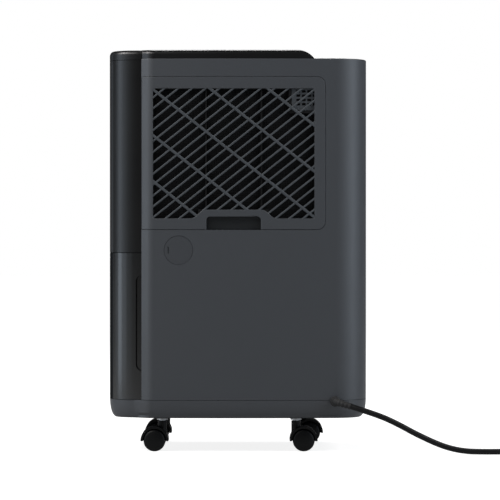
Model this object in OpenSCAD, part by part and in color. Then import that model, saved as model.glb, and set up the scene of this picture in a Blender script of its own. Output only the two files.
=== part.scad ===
// Portable dehumidifier: a compressor unit on casters, with a slide-out tank at the front,
// an intake grille and filter in one long side, and an outlet louvre in the top.
// X runs from the tank at the front (-X) to the back, the intake grille faces -Y, +Z is up.
// The origin lies on the floor, under the middle of the casing.

/* [Casing] */
// Length from the front of the tank to the back of the shell
body_length = 352; // [346:1:364]
// Width from the intake face to the far face
body_width = 232; // [230:1:244]
// Radius of the four upright corners
corner_radius = 46; // [42:1:50]
// Radius of the slight crown along the two long sides
crown_radius = 2300; // [2200:50:3600]
// Thickness of the casing walls
wall = 3; // [2.6:0.1:3.2]
// Height of the base casting's side
base_height = 24.5; // [23:0.5:28]
// How far the foot of the base curves in
base_tuck = 14; // [10:0.5:15]
// Height of the grey shell above the base
shell_height = 464.5; // [462:0.5:474]
// Height of the black cover above the shell's rim
cover_rise = 11.8; // [11:0.2:14]
// Length of the black front, ahead of the shell
front_length = 46; // [44:0.5:48]
// How far the black front stands in from the shell's sides
front_step = 2.5; // [1.8:0.1:2.5]
// Gap along the seams between casing parts
seam = 0.5; // [0.4:0.1:0.7]

/* [Intake panel] */
// Length of the intake panel, from the shell's front edge
panel_length = 249; // [246:1:252]
// Height of the intake panel
panel_height = 207.5; // [205:0.5:210]
// Distance from the shell's rim down to the panel
panel_drop = 25; // [24:0.5:28]
// Radius of the panel's two rear corners
panel_corner = 11; // [8:0.5:14]
// Thickness of the panel
panel_skin = 3; // [2.5:0.1:3.2]
// Frame left at each end of the grille
grille_side = 14.8; // [14:0.1:18]
// Frame left above the grille
grille_top = 16.2; // [15:0.1:20]
// Frame left below the grille
grille_bottom = 15.1; // [14:0.1:16]
// Angle of the grille's ribs from level
rib_angle = 38.4; // [34:0.1:42]
// Distance between two slim ribs, square to them
slim_pitch = 11.6; // [10:0.1:14]
// Width of a slim rib
slim_width = 3; // [2:0.1:3.5]
// Distance between two broad ribs, square to them
broad_pitch = 48.8; // [44:0.1:54]
// Width of a broad rib
broad_width = 4.2; // [3.5:0.1:5]
// Width of the finger pull in the panel's lower edge
pull_width = 74; // [68:1:78]
// Height of the finger pull
pull_height = 17.5; // [16:0.5:18.5]
// Depth of the finger pull
pull_depth = 7.5; // [5:0.1:8]

/* [Tank] */
// Length of the water tank
tank_length = 144; // [138:1:146]
// Height of the tank's front
tank_height = 199.5; // [196:0.5:202]
// Height of the tank's body behind its front
tank_body_height = 178.5; // [174:0.5:182]
// Width of the tank's body
tank_width = 216; // [208:1:216]
// Thickness of the tank's walls
tank_wall = 2.5; // [2:0.1:2.8]
// Depth of the two grip pockets
grip_depth = 6; // [5:0.1:7]
// Height of the two grip pockets
grip_height = 132; // [120:1:136]

/* [Casters] */
// Diameter of a caster wheel
wheel_diameter = 30; // [29:0.5:31]
// Width of a caster wheel
wheel_width = 11.4; // [10:0.1:12]
// Height from the floor to the underside of the base
caster_height = 46.5; // [46:0.5:52]
// Distance from a caster's stem to its axle
caster_trail = 10.5; // [9:0.5:12]
// Diameter of the threaded stem
stem_diameter = 8; // [7:0.5:9]
// Diameter of the wheel axle
axle_diameter = 5; // [4:0.5:6]
// Distance across between the left and right casters
caster_track = 150; // [140:1:154]

/* [Works] */
// Diameter of the fan wheel
fan_diameter = 160; // [150:1:162]
// Width of the fan wheel
fan_width = 60; // [56:1:62]
// Diameter of the motor shaft
shaft_diameter = 8; // [6:0.5:10]
// Diameter of the compressor
compressor_diameter = 118; // [110:1:122]
// Height of the compressor
compressor_height = 173; // [165:1:175]
// Diameter of the coil tubes
tube_diameter = 9.5; // [8:0.5:10]
// Number of passes in each coil
coil_passes = 8; // [6:2:8]
// Diameter of the drain spout's bore
spout_bore = 8; // [6:0.5:9]
// Diameter of the drain cap
drain_cap_diameter = 38.8; // [36:0.2:40]
// Radial clearance of a shaft that turns in its bore
running_clearance = 0.05; // [0.03:0.01:0.1]

/* [Controls] */
// Diameter of a key
key_diameter = 13; // [11:0.5:15]
// Distance between two keys
key_pitch = 20; // [18:0.5:22]
// Travel of a key
key_travel = 1.2; // [0.8:0.1:1.5]

/* [Cord] */
// Diameter of the mains cord
cord_diameter = 7.8; // [7:0.2:8]

/* [Hidden] */

grey = "#3c3f43";
black = "#101214";
smoke = "#24282b";
copper = "#b06a3c";
steel = "#a8acb0";
$fn = 48;

// Outline of the casing, seen from above
front_x = -body_length / 2;
back_x = body_length / 2;
corner_steps = 9;
crown_steps = 5;
corner_x = body_length / 2 - corner_radius;
crown_drop = crown_radius - body_width / 2;
crown_turn = asin(corner_x / (crown_radius - corner_radius));
corner_y = (crown_radius - corner_radius) * cos(crown_turn) - crown_drop;
split_x = front_x + front_length;

// Levels
base_top = caster_height + base_height;
shell_top = base_top + shell_height;
cover_top = shell_top + cover_rise;
base_floor = 3;
deck_skin = 3;
tank_play = 0.5;
tank_z = base_top + tank_play;
tank_top = tank_z + tank_height;
tank_body_top = tank_z + tank_body_height;
headroom = 5;
deck_z = tank_top + headroom;
deck_top = deck_z + deck_skin;
panel_gap = 0.8;

// Intake panel
pocket_clear = 0.4;
panel_right = split_x + panel_length;
panel_top_z = shell_top - panel_drop;
panel_z = panel_top_z - panel_height;
opening_x = [split_x + grille_side, panel_right - grille_side];
opening_z = [panel_z + grille_bottom, panel_top_z - grille_top];
pull_x = split_x + 124.4;
pull_rim = 9.5;
pull_slope = 12.5;
pad_depth = wall + 4.5;
filter_margin = 3;
filter_x = [opening_x[0] - filter_margin, opening_x[1] + filter_margin];
filter_z = [opening_z[0] - filter_margin, opening_z[1] + filter_margin];
sensor_size = [33, 31.3];
sensor_pitch = [7.4, 5.8];
sensor_hole = [5.2, 3.4];
sensor_rows = 4;

// Bay and tank
tank_back_x = front_x + tank_length;
divider_gap = 4;
divider_x = tank_back_x + divider_gap;
grip_x = [split_x - 9, split_x + 30];
grip_z = tank_z + 38.5;
rim_height = 6.5;

// Casters: place of each stem, and the way its wheels trail
half_track = caster_track / 2;
caster_front_x = front_x + 72.5;
caster_back_x = back_x - 96.5;
caster_far_offset = 11.5;
caster_spots = [
    [caster_front_x, -half_track, 180],
    [caster_back_x, -half_track, 0],
    [caster_front_x, half_track, 180],
    [caster_back_x + caster_far_offset, half_track, 0]
];
axle_z = wheel_diameter / 2;
hood_neck = 6.2;
hood_radius = wheel_diameter / 2 + 4;
hood_gap = 0.4;
hood_top = caster_height - 5.2;
socket_depth = 20;
nut_width = 13;
stem_reach = 15;
flange_diameter = 15;
flange_recess = 1.5;
boss_radius = flange_diameter / 2 + 2;

// Coils, behind the filter
coil_front_gap = 18;
coil_back_gap = 72;
coil_x = [split_x + coil_front_gap, back_x - coil_back_gap];
coil_z = deck_top + 21.5;
coil_depth = 22;
filter_gap = 6.5;
coil_gap = 2;
evaporator_y = -body_width / 2 + pad_depth + filter_gap + coil_depth / 2;
condenser_y = evaporator_y + coil_depth + coil_gap;
pass_pitch = 24;

// Fan, in its scroll, ahead of the coils' middle
fan_gap = 6;
scroll_start = 75;
scroll_near = fan_diameter / 2 + fan_gap;
scroll_far = fan_diameter / 2 + 32;
scroll_foot = 9;
fan_ahead = 36;
fan_x = (coil_x[0] + coil_x[1]) / 2 - fan_ahead;
fan_z = deck_top + scroll_far + scroll_foot;
fan_half = fan_width / 2;
housing_skin = 2;
duct_x = [fan_x + 22, fan_x + scroll_far];
duct_top = shell_top - 8;
outlet_x = [duct_x[0] + 9, duct_x[1] - 1];
outlet_y = 38;

// Drain
drain_x = front_x + 95.5;
drain_z = deck_z - 0.9;
drain_recess = 6;
spout_z = deck_top + 8;
spout_x = drain_x;

// Compressor
compressor_ahead = 4;
compressor_x = (divider_x + back_x) / 2 - compressor_ahead;
foot_height = 12;
compressor_z = caster_height + base_floor + foot_height;

// Controls
board_length = 102;
board_x = [front_x + 10, front_x + 10 + board_length];
board_z = cover_top - 13;
board_skin = 1.6;
key_x = front_x + 84;
louvre_barrel = 4.8;
hinge_pin = 2.4;

// Cord
cord_radius = cord_diameter / 2;
gland_x = back_x - 43.7;
gland_z = base_top - 1;
gland_radius = 7;
// Route of the cord from the gland to the coil, point by point
cord_route = [
    [153, -131, 64], [163, -134, 61], [174, -136, 57.5], [186, -137.5, 53.5], [198, -138.5, 49],
    [210, -139, 43.5], [222, -139.5, 37.5], [235, -140, 30.5], [248, -140.5, 24], [262, -141, 17.5],
    [277, -141.5, 11.5], [293, -142, 7], [310, -142.4, 4.6], [328, -142.7, 4], [346, -142.8, 4],
    [364, -142.8, 4], [382, -142.8, 4], [400, -142.8, 4], [413, -142.8, 4]
];
// Route of the cord from the coil to the plug
tail_route = [
    [470.8, -86, 11.8], [471, -76, 11.9], [471, -66, 12.4], [471, -56, 13], [471, -47, 13.3],
    [471, -40, 13.3]
];
coil_centre = [420, -92];
coil_radius = 43;
coil_columns = 3;
coil_layers = 2;
plug_at = [471, -40, 13.3];

// ---------------------------------------------------------------- helpers

function arc(centre, r, from, to, steps, last) =
    [for (i = [0 : last]) let (t = from + (to - from) * i / steps) centre + r * [sin(t), cos(t)]];

// A quarter of the casing's outline, from the middle of a long side to an end
function quarter(inset) = concat(
    arc([0, -crown_drop], crown_radius - inset, 0, crown_turn, crown_steps, crown_steps - 1),
    arc([corner_x, corner_y], corner_radius - inset, crown_turn, 90, corner_steps, corner_steps));

function outline(inset) = let (q = quarter(inset), n = len(q) - 1) concat(
    q,
    [for (i = [n : -1 : 0]) [q[i].x, -q[i].y]],
    [for (i = [1 : n]) [-q[i].x, -q[i].y]],
    [for (i = [n : -1 : 1]) [-q[i].x, q[i].y]]);

// The casing's outline as an upright prism
module plan(inset, z0, z1, shift = 0)
    translate([shift, 0, z0]) linear_extrude(z1 - z0) polygon(outline(inset));

// The casing's outline lofted through levels of [height, inset]
module loft(levels, shift = 0) {
    n = len(outline(0));
    m = len(levels);
    polyhedron(
        points = [for (l = levels) for (p = outline(l[1])) [p.x + shift, p.y, l[0]]],
        faces = concat(
            [[for (i = [n - 1 : -1 : 0]) i]],
            [[for (i = [0 : n - 1]) (m - 1) * n + i]],
            [for (k = [0 : m - 2]) for (i = [0 : n - 1]) let (j = (i + 1) % n)
                [k * n + i, k * n + j, (k + 1) * n + j, (k + 1) * n + i]]),
        convexity = 6);
}

// Levels of an edge rounded to radius r at height top
function rounded_edge(top, inset, r, steps) =
    [for (i = [0 : steps]) let (t = 90 * i / steps) [top - r + r * sin(t), inset + r - r * cos(t)]];

module box(x, y, z) translate([x[0], y[0], z[0]]) cube([x[1] - x[0], y[1] - y[0], z[1] - z[0]]);

// A shape drawn in X and Z, as a slab from y0 to y1
module slab(y0, y1) translate([0, y1, 0]) rotate([90, 0, 0]) linear_extrude(y1 - y0) children();

module round_rect(x, z, r) {
    translate([x[0] + r, z[0]]) square([x[1] - x[0] - 2 * r, z[1] - z[0]]);
    translate([x[0], z[0] + r]) square([x[1] - x[0], z[1] - z[0] - 2 * r]);
    for (px = [x[0] + r, x[1] - r], pz = [z[0] + r, z[1] - r])
        translate([px, pz]) circle(r, $fn = 32);
}

module pin_y(x, z, y0, y1, d) translate([x, y0, z]) rotate([-90, 0, 0]) cylinder(d = d, h = y1 - y0);

// The space between two depths under the crowned intake face
module under_face(depth0, depth1, z0, z1)
    translate([0, crown_drop, z0]) difference() {
        cylinder(r = crown_radius - depth0, h = z1 - z0, $fn = 720);
        translate([0, 0, -1]) cylinder(r = crown_radius - depth1, h = z1 - z0 + 2, $fn = 720);
    }

// Everything ahead of, or behind, a plane across the casing
module ahead_of(x) box([2 * front_x, x], [-body_width, body_width], [0, 2 * cover_top]);
module behind(x) box([x, 2 * back_x], [-body_width, body_width], [0, 2 * cover_top]);

function unit(v) = v / norm(v);
function tangent(p, i) = unit(p[min(i + 1, len(p) - 1)] - p[max(i - 1, 0)]);

// A tube swept through points, with a radius at each
module swept_tube(p, radii, sides = 10) {
    n = len(p);
    rings = [for (i = [0 : n - 1])
        let (t = tangent(p, i), s = unit(cross(t, [0, 0, 1])), u = cross(s, t))
        for (k = [0 : sides - 1]) p[i] + radii[i] * (cos(360 * k / sides) * s + sin(360 * k / sides) * u)];
    polyhedron(
        points = rings,
        faces = concat(
            [[for (k = [sides - 1 : -1 : 0]) k]],
            [[for (k = [0 : sides - 1]) (n - 1) * sides + k]],
            [for (i = [0 : n - 2]) for (k = [0 : sides - 1]) let (m = (k + 1) % sides)
                [i * sides + k, i * sides + m, (i + 1) * sides + m, (i + 1) * sides + k]]),
        convexity = 6);
}

// A rigid pipe through points
module pipe(p, d)
    for (i = [0 : len(p) - 2]) {
        v = p[i + 1] - p[i];
        translate(p[i]) rotate([0, acos(v.z / norm(v)), atan2(v.y, v.x)])
            cylinder(d = d, h = norm(v), $fn = 24);
        if (i > 0) translate(p[i]) sphere(d = d, $fn = 24);
    }

// ---------------------------------------------------------------- casing

pocket_z = [panel_z - pocket_clear, panel_top_z + pocket_clear];
shell_edge = 1.6;
lid_overlap = 6;
rebate_depth = 0.6;
cover_curve = 31;
cover_end_x = back_x - 72;
cover_flat_x = cover_end_x - sqrt(cover_curve * cover_curve - pow(cover_curve - cover_rise, 2));

module main_shell() color(grey) difference() {
    union() {
        difference() {
            loft(concat([[base_top + seam, 0]], rounded_edge(shell_top, 0, shell_edge, 3)));
            plan(wall, base_top, shell_top - wall);
            intersection() {
                plan(wall, base_top, shell_top + 1);
                ahead_of(cover_end_x - lid_overlap);
            }
        }
        // thick frame round the filter opening
        intersection() {
            under_face(wall / 2, pad_depth, panel_z - 6, panel_top_z + 6);
            box([split_x, panel_right + 6], [-body_width, 0], [panel_z - 6, panel_top_z + 6]);
        }
        drain_cup(wall / 2, drain_recess + wall, drain_cap_diameter + 2 * wall);
    }
    ahead_of(split_x);
    intersection() {
        under_face(-1, panel_skin + pocket_clear, pocket_z[0], pocket_z[1]);
        slab(-body_width, 0) panel_outline(pocket_clear, -1);
    }
    slab(-body_width, 0) filter_outline(pocket_clear);
    slab(-body_width, 0) pull_box_outline(pocket_clear);
    drain_cup(-1, drain_recess, drain_cap_diameter + 2 * pocket_clear);
    pin_y(spout_x, spout_z, -body_width, 0, spout_bore + 4.6);
    gland_hole();
    // rebate in the roof, for the cover's rear edge
    box([split_x, cover_end_x + seam], [-body_width, body_width], [shell_top - rebate_depth, 2 * cover_top]);
}

module gland_hole() pin_y(gland_x, gland_z, -body_width, -body_width / 2 + 20, 2 * gland_radius - 2);

module drain_cup(depth0, depth1, d) intersection() {
    under_face(depth0, depth1, drain_z - d, drain_z + d);
    pin_y(drain_x, drain_z, -body_width, 0, d);
}

// Outline of the panel in X and Z, grown by a clearance, and its front end moved
module panel_outline(grow, front_shift = 0) {
    x = [split_x + front_shift, panel_right + grow];
    z = [panel_z - grow, panel_top_z + grow];
    r = panel_corner + grow;
    round_rect(x, z, r);
    translate([x[0], z[0]]) square([2 * r, z[1] - z[0]]);
}

module filter_outline(grow) difference() {
    translate([filter_x[0] - grow, filter_z[0] - grow])
        square([filter_x[1] - filter_x[0] + 2 * grow, filter_z[1] - filter_z[0] + 2 * grow]);
    difference() {
        translate([pull_x - pull_width / 2 - 7 + grow, panel_z])
            square([pull_width + 14 - 2 * grow, pull_height + 6 - grow]);
    }
}

// The hollow block behind the finger pull
module pull_box_outline(grow)
    translate([pull_x - pull_width / 2 - 3 - grow, panel_z - grow])
        square([pull_width + 6 + 2 * grow, pull_height + 3 + 2 * grow]);

base_levels = [for (i = [0 : 6]) let (t = 90 * i / 6)
    [base_top - base_height * cos(t) * 0.98 - (i == 0 ? base_height * 0.02 : 0),
     base_tuck * (1 - sin(t))]];

module base_pan() color(grey) difference() {
    union() {
        difference() {
            loft(base_levels);
            // tray round the compressor
            intersection() {
                plan(base_tuck + 1, caster_height + base_floor, base_top + 1);
                behind(divider_x);
            }
            // hollow under the tank deck
            intersection() {
                plan(base_tuck + 3, caster_height - 1, base_top - deck_skin);
                ahead_of(divider_x - wall);
            }
        }
        for (s = caster_spots)
            translate([s.x, s.y, caster_height]) cylinder(r = boss_radius, h = base_height - 1);
        for (a = [0 : 2]) compressor_boss(a);
        for (p = screw_spots) translate([p.x, p.y, caster_height]) cylinder(d = 9, h = base_height);
    }
    for (s = caster_spots)
        translate([s.x, s.y, caster_height - 1]) {
            cylinder(d = stem_diameter, h = stem_reach + 1);
            cylinder(d = flange_diameter + 2, h = flange_recess + 1);
        }
    for (p = screw_spots) {
        translate([p.x, p.y, caster_height - 1]) cylinder(d = 4.4, h = base_height + 2);
        translate([p.x, p.y, caster_height - 1]) cylinder(d = 7.6, h = 6);
    }
    gland_hole();
}

screw_spots = [for (x = [divider_x + 10, back_x - 28], y = [-1, 1]) [x, y * (corner_y + 12)]];

module compressor_boss(i)
    translate([compressor_x, 0, caster_height])
        rotate([0, 0, 120 * i + 60]) translate([compressor_diameter / 2 + 6, 0, 0])
            cylinder(d = 14, h = base_floor + 2);

module front_panel() color(black) {
    z = [tank_top + panel_gap, shell_top - 1.8];
    difference() {
        plan(front_step, z[0], z[1], -front_step);
        plan(front_step + wall, z[0] - 1, z[1] + 1, -front_step);
        behind(split_x - seam - 0.05);
    }
    // flange that tucks in behind the shell's front edge, clear of the intake panel's frame
    difference() {
        plan(wall + pocket_clear, deck_top + 1, z[1] - 10);
        plan(wall + pocket_clear + 2.5, deck_top, z[1]);
        behind(split_x + 6);
        ahead_of(split_x - 4);
        box([2 * front_x, 0], [-body_width, 0], [0, panel_top_z + 10]);
    }
}

cover_edge = 6;
cover_lip = 5;

module cover_profile(shrink) {
    translate([2 * front_x, 0]) square([cover_flat_x - 2 * front_x, cover_top - shrink]);
    translate([cover_flat_x, cover_top - cover_curve]) circle(cover_curve - shrink, $fn = 96);
    translate([cover_flat_x, 0]) square([cover_curve - shrink, cover_top - cover_curve]);
}

module top_cover() color(black) difference() {
    intersection() {
        union() {
            difference() {
                loft(concat([[shell_top - 1.8 + seam, front_step]],
                    rounded_edge(cover_top, front_step, cover_edge, 4)), -front_step);
                behind(split_x - seam);
            }
            difference() {
                loft(concat([[shell_top - cover_lip, wall + pocket_clear]],
                    rounded_edge(cover_top, wall + pocket_clear, cover_edge, 4)));
                ahead_of(split_x - seam - 0.01);
                box([cover_end_x - lid_overlap - 1, back_x], [-body_width, body_width],
                    [0, shell_top - rebate_depth + 0.2]);
            }
        }
        slab(-body_width, body_width) cover_profile(0);
        ahead_of(cover_end_x);
    }
    intersection() {
        plan(wall + pocket_clear + wall, 0, cover_top - wall);
        slab(-body_width, body_width) cover_profile(wall);
        difference() {
            ahead_of(cover_end_x - lid_overlap - 4);
            collar();
            key_posts();
        }
    }
    box([outlet_x[0], outlet_x[1]], [-outlet_y, outlet_y], [0, 2 * cover_top]);
    for (s = [-1, 1]) pin_y(hinge_x, hinge_z, s * outlet_y - 3, s * outlet_y + 3, hinge_pin + 0.2);
    window_recess();
    for (i = [0 : 3]) translate([key_x, key_y(i), 0]) cylinder(d = key_diameter + 0.6, h = 2 * cover_top);
}

// Frame below the outlet, which carries the louvre's hinge and the grille
module collar()
    box([outlet_x[0] - wall, outlet_x[1] + wall], [-outlet_y - wall, outlet_y + wall],
        [shell_top - cover_lip, cover_top]);

module key_posts()
    for (x = [board_x[0] + 6, board_x[1] - 6], y = [-1, 1])
        translate([x, y * 44, board_z + board_skin + 0.01]) cylinder(d = 7, h = cover_top);

hinge_x = outlet_x[1] - louvre_barrel / 2 - 0.5;
hinge_z = cover_top - louvre_barrel / 2;
function key_y(i) = (i - 1.5) * key_pitch;

window_x = [front_x + 22, front_x + 66];
window_half = 34;
window_skin = 1;

module window_recess()
    translate([0, 0, cover_top - window_skin]) linear_extrude(2)
        round_rect(window_x, [-window_half, window_half], 4);

module display_window() color("#0a0b0c")
    translate([0, 0, cover_top - window_skin]) linear_extrude(window_skin)
        round_rect([window_x[0] + 0.2, window_x[1] - 0.2], [-window_half + 0.2, window_half - 0.2], 3.8);

chassis_inset = wall + pocket_clear;

module chassis() color("#55585c") difference() {
    union() {
        // deck that carries the coils and the fan
        intersection() {
            union() {
                intersection() {
                    plan(chassis_inset, deck_z, deck_top);
                    behind(split_x - 0.2);
                }
                intersection() {
                    plan(front_step + wall + pocket_clear, deck_z, deck_top, -front_step);
                    ahead_of(split_x);
                }
            }
            box([2 * front_x, 2 * back_x], [-body_width, body_width], [deck_z, deck_top]);
        }
        // wall behind the tank
        intersection() {
            plan(chassis_inset, base_top, deck_z + 1);
            box([divider_x, divider_x + wall], [-body_width, body_width], [base_top, deck_z + 1]);
        }
        for (p = screw_spots)
            translate([p.x, p.y, base_top]) cylinder(d = 9, h = deck_z - base_top + 1);
    }
    for (p = screw_spots) translate([p.x, p.y, base_top - 1]) cylinder(d = 3.5, h = 19);
    drain_cup(-1, drain_recess + wall + pocket_clear, drain_cap_diameter + 2 * wall + 2 * pocket_clear);
    translate([drip_x, drip_y, deck_z - 1]) cylinder(d = drip_spout + 1, h = deck_skin + 2);
    for (p = [discharge_at, suction_at, duct_wires])
        translate([p.x, p.y, deck_z - 1]) cylinder(d = 14, h = deck_skin + 2);
}

module casing_screws() color(steel)
    for (p = screw_spots) translate([p.x, p.y, caster_height + 1.5]) {
        cylinder(d = 7, h = 3.5);
        cylinder(d = 3.5, h = base_height + 15);
    }

// ---------------------------------------------------------------- tank

// The tank's outside, or its inside when inset is the wall: a front in line with the casing,
// and a body that runs back between the shell's walls
module tank_form(inset, front_top, body_top, bottom) {
    intersection() {
        plan(front_step + inset, bottom, front_top, -front_step);
        ahead_of(split_x - seam + (inset > 0 ? 1 : 0));
    }
    intersection() {
        plan(wall + 1.5 + inset, bottom, body_top);
        box([split_x - seam - 1, tank_back_x - inset],
            [-tank_width / 2 + inset, tank_width / 2 - inset], [bottom, body_top]);
    }
}

// The two grip pockets, or the bulges round them
module grips(grow) difference() {
    slab(-body_width, body_width)
        round_rect([grip_x[0] - grow, grip_x[1] + grow], [grip_z - grow, grip_z + grip_height + grow], 10);
    plan(front_step + grip_depth + grow, 0, cover_top);
    behind(0);
}

module water_tank() color(smoke) difference() {
    tank_form(0, tank_top, tank_body_top, tank_z);
    difference() {
        tank_form(tank_wall, tank_top + 1, tank_body_top + 1, tank_z + tank_wall);
        grips(tank_wall);
    }
    grips(0);
    // fine groove below the rim of the front
    intersection() {
        difference() {
            plan(front_step - 1, tank_top - rim_height, tank_top - rim_height + 0.6, -front_step);
            plan(front_step + 0.4, 0, cover_top, -front_step);
        }
        ahead_of(split_x - seam);
    }
}

lid_skin = 2;
lid_z = tank_body_top + 0.2;
lid_top = lid_z + lid_skin;
drip_x = tank_back_x - 24;
drip_y = -body_width / 2 + 38;
drip_spout = 16;
drip_hole = 28;
float_length = 34;
float_x = tank_back_x - float_length - 4;
float_y = 52;
float_pin = 3;
float_drop = 9;
float_z = lid_z - float_drop;

module tank_lid() color("#3a3d40") difference() {
    union() {
        intersection() {
            plan(front_step + tank_wall + 0.5, lid_z, lid_z + lid_skin, -front_step);
            ahead_of(split_x);
        }
        intersection() {
            plan(wall + 1.5, lid_z, lid_z + lid_skin);
            box([split_x - seam + 0.3, tank_back_x], [-tank_width / 2, tank_width / 2],
                [lid_z, lid_z + lid_skin]);
        }
        // bracket for the float's pin
        for (s = [-1, 1])
            translate([float_x - 4, float_y + s * 9 - 1.5, lid_z - 14]) cube([8, 3, 15]);
    }
    translate([drip_x, drip_y, lid_z - 1]) cylinder(d = drip_hole, h = lid_skin + 2);
    pin_y(float_x, float_z, float_y - 20, float_y + 20, float_pin + 2 * running_clearance);
}

module tank_float() color("#d8dadb") {
    pin_y(float_x, float_z, float_y - 11.5, float_y + 11.5, float_pin);
    difference() {
        box([float_x - 4, float_x - 4 + float_length], [float_y - 6, float_y + 6],
            [float_z - 13, float_z + 4]);
        pin_y(float_x, float_z, float_y - 20, float_y + 20, float_pin);
    }
}

switch_share = 0.38;
finger_clearance = 0.085;

// Switch under the deck. Its finger ends just above the lid, whatever room the tank's body leaves
module tank_switch() color(black) {
    room = deck_z - lid_top;
    switch_z = deck_z - switch_share * room;
    box([divider_x - 20, divider_x], [-9, 9], [switch_z, deck_z]);
    box([divider_x - 17, divider_x - 3], [-3, 3], [lid_top + finger_clearance * room, switch_z]);
}

// ---------------------------------------------------------------- intake

// The grille's opening, with the raised step over the finger pull
module grille_opening() difference() {
    translate([opening_x[0], opening_z[0]])
        square([opening_x[1] - opening_x[0], opening_z[1] - opening_z[0]]);
    polygon([
        [pull_x - pull_width / 2 - pull_slope - 5, opening_z[0] - 1],
        [pull_x - pull_width / 2 - 5, panel_z + pull_height + pull_rim],
        [pull_x + pull_width / 2 + 5, panel_z + pull_height + pull_rim],
        [pull_x + pull_width / 2 + pull_slope + 5, opening_z[0] - 1]
    ]);
}

// Parallel ribs through the grille's opening, turned by angle about its upper front corner
module ribs(angle, pitch, width, first, count) intersection() {
    grille_opening();
    translate([opening_x[0], opening_z[1]]) rotate(angle)
        for (i = [0 : count - 1])
            translate([-2 * panel_length, -first - i * pitch - width / 2]) square([4 * panel_length, width]);
}

slim_first = 9.6;
broad_first = 0.8;
slim_count = floor((panel_length * sin(rib_angle) + panel_height * cos(rib_angle)) / slim_pitch);
broad_before = floor(panel_length * sin(rib_angle) / broad_pitch);
broad_count = broad_before + floor(panel_height * cos(rib_angle) / broad_pitch) + 1;
broad_skin = 2.6;
slim_skin = 2;

module intake_panel() color(grey) {
    difference() {
        intersection() {
            under_face(0, panel_skin, panel_z, panel_top_z);
            slab(-body_width, 0) panel_outline(0);
        }
        slab(-body_width, 0) grille_opening();
        slab(-body_width, 0) pull_outline();
    }
    intersection() {
        under_face(0.2, 0.2 + broad_skin, panel_z, panel_top_z);
        slab(-body_width, 0)
            ribs(-rib_angle, broad_pitch, broad_width, broad_first - broad_before * broad_pitch, broad_count);
    }
    intersection() {
        under_face(0.5, 0.5 + slim_skin, panel_z, panel_top_z);
        slab(-body_width, 0) ribs(rib_angle, slim_pitch, slim_width, slim_first, slim_count);
    }
    // block behind the finger pull
    difference() {
        intersection() {
            under_face(panel_skin - 0.5, pull_depth + 2, panel_z, panel_top_z);
            slab(-body_width, 0) pull_box_outline(0);
        }
        intersection() {
            under_face(0, pull_depth, panel_z - 1, panel_top_z);
            slab(-body_width, 0) pull_outline();
        }
    }
}

module pull_outline() {
    x = [pull_x - pull_width / 2, pull_x + pull_width / 2];
    round_rect(x, [panel_z - 1, panel_z + pull_height], 4.8);
    translate([x[0], panel_z - 1]) square([pull_width, 6]);
}

module sensor_outline(grow)
    translate([opening_x[1] - sensor_size.x + 2 - grow, opening_z[1] - sensor_size.y + 2 - grow])
        square([sensor_size.x + 6 + 2 * grow, sensor_size.y + 6 + 2 * grow]);

frame_bar = 4;

module filter_frame() color("#1a1c1e") intersection() {
    under_face(panel_skin + 0.3, pad_depth - 0.4, filter_z[0] - 1, filter_z[1] + 1);
    slab(-body_width, 0) difference() {
        filter_outline(0);
        difference() {
            translate([filter_x[0] + frame_bar, filter_z[0] + frame_bar])
                square([
                    filter_x[1] - filter_x[0] - 2 * frame_bar,
                    filter_z[1] - filter_z[0] - 2 * frame_bar
                ]);
            translate([pull_x - pull_width / 2 - 7 - frame_bar, 0])
                square([pull_width + 14 + 2 * frame_bar, panel_z + pull_height + 6 + frame_bar]);
            sensor_outline(frame_bar);
            for (i = [1, 2]) translate([filter_x[0] + i * (filter_x[1] - filter_x[0]) / 3 - 1, 0])
                square([2, cover_top]);
        }
        sensor_outline(0.5);
    }
}

module filter_mesh() color("#0c0d0e") intersection() {
    under_face(pad_depth - 0.4, pad_depth, filter_z[0] - 1, filter_z[1] + 1);
    slab(-body_width, 0) difference() {
        filter_outline(-1);
        sensor_outline(1.5);
    }
}

module humidity_sensor_cover() color("#2b2e31") {
    x = [opening_x[1] - sensor_size.x + 2, filter_x[1] + pocket_clear];
    z = [opening_z[1] - sensor_size.y + 2, filter_z[1] + pocket_clear];
    difference() {
        intersection() {
            under_face(panel_skin + 1, panel_skin + 3, z[0] - 1, z[1] + 1);
            box(x, [-body_width, 0], z);
        }
        for (i = [0 : sensor_rows - 1], k = [1 : sensor_rows])
            translate([x[0] + 6.4 + i * sensor_pitch.x, -body_width, z[1] - 3 - k * sensor_pitch.y])
                cube([sensor_hole.x, body_width, sensor_hole.y]);
    }
}

module drain_cap() color(grey) {
    difference() {
        intersection() {
            under_face(0.3, 2.8, drain_z - 30, drain_z + 30);
            pin_y(drain_x, drain_z, -body_width, 0, drain_cap_diameter);
        }
        // fingernail notch
        translate([drain_x - drain_cap_diameter / 2 + 4.6, -body_width / 2 + 1.2, drain_z])
            rotate([0, 0, 28]) cube([5, 3, 9], center = true);
    }
    pin_y(spout_x, spout_z, -body_width / 2 + 3.5, -body_width / 2 + 13, spout_bore - 0.6);
}

tray_y = [evaporator_y - coil_depth / 2 - 1.5, condenser_y + coil_depth / 2 + 5];
tray_top = coil_z - 0.3;

module drip_tray() color("#3a3d40") difference() {
    union() {
        box([coil_x[0] - 2, coil_x[1] + 2], tray_y, [deck_top, tray_top]);
        pin_y(spout_x, spout_z, -body_width / 2 + 5, tray_y[0] + 1, spout_bore + 4);
        translate([drip_x, drip_y, deck_z - 14]) cylinder(d = drip_spout, h = 20);
    }
    box([coil_x[0], coil_x[1]], [tray_y[0] + 2, tray_y[1] - 2], [deck_top + 2, tray_top + 1]);
    pin_y(spout_x, spout_z, -body_width, tray_y[0] + 5, spout_bore);
    translate([drip_x, drip_y, deck_z - 20]) cylinder(d = drip_spout - 4, h = 40);
}

// ---------------------------------------------------------------- cooling circuit

function pass_z(i) = coil_z + pass_pitch / 2 + i * pass_pitch;

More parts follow.
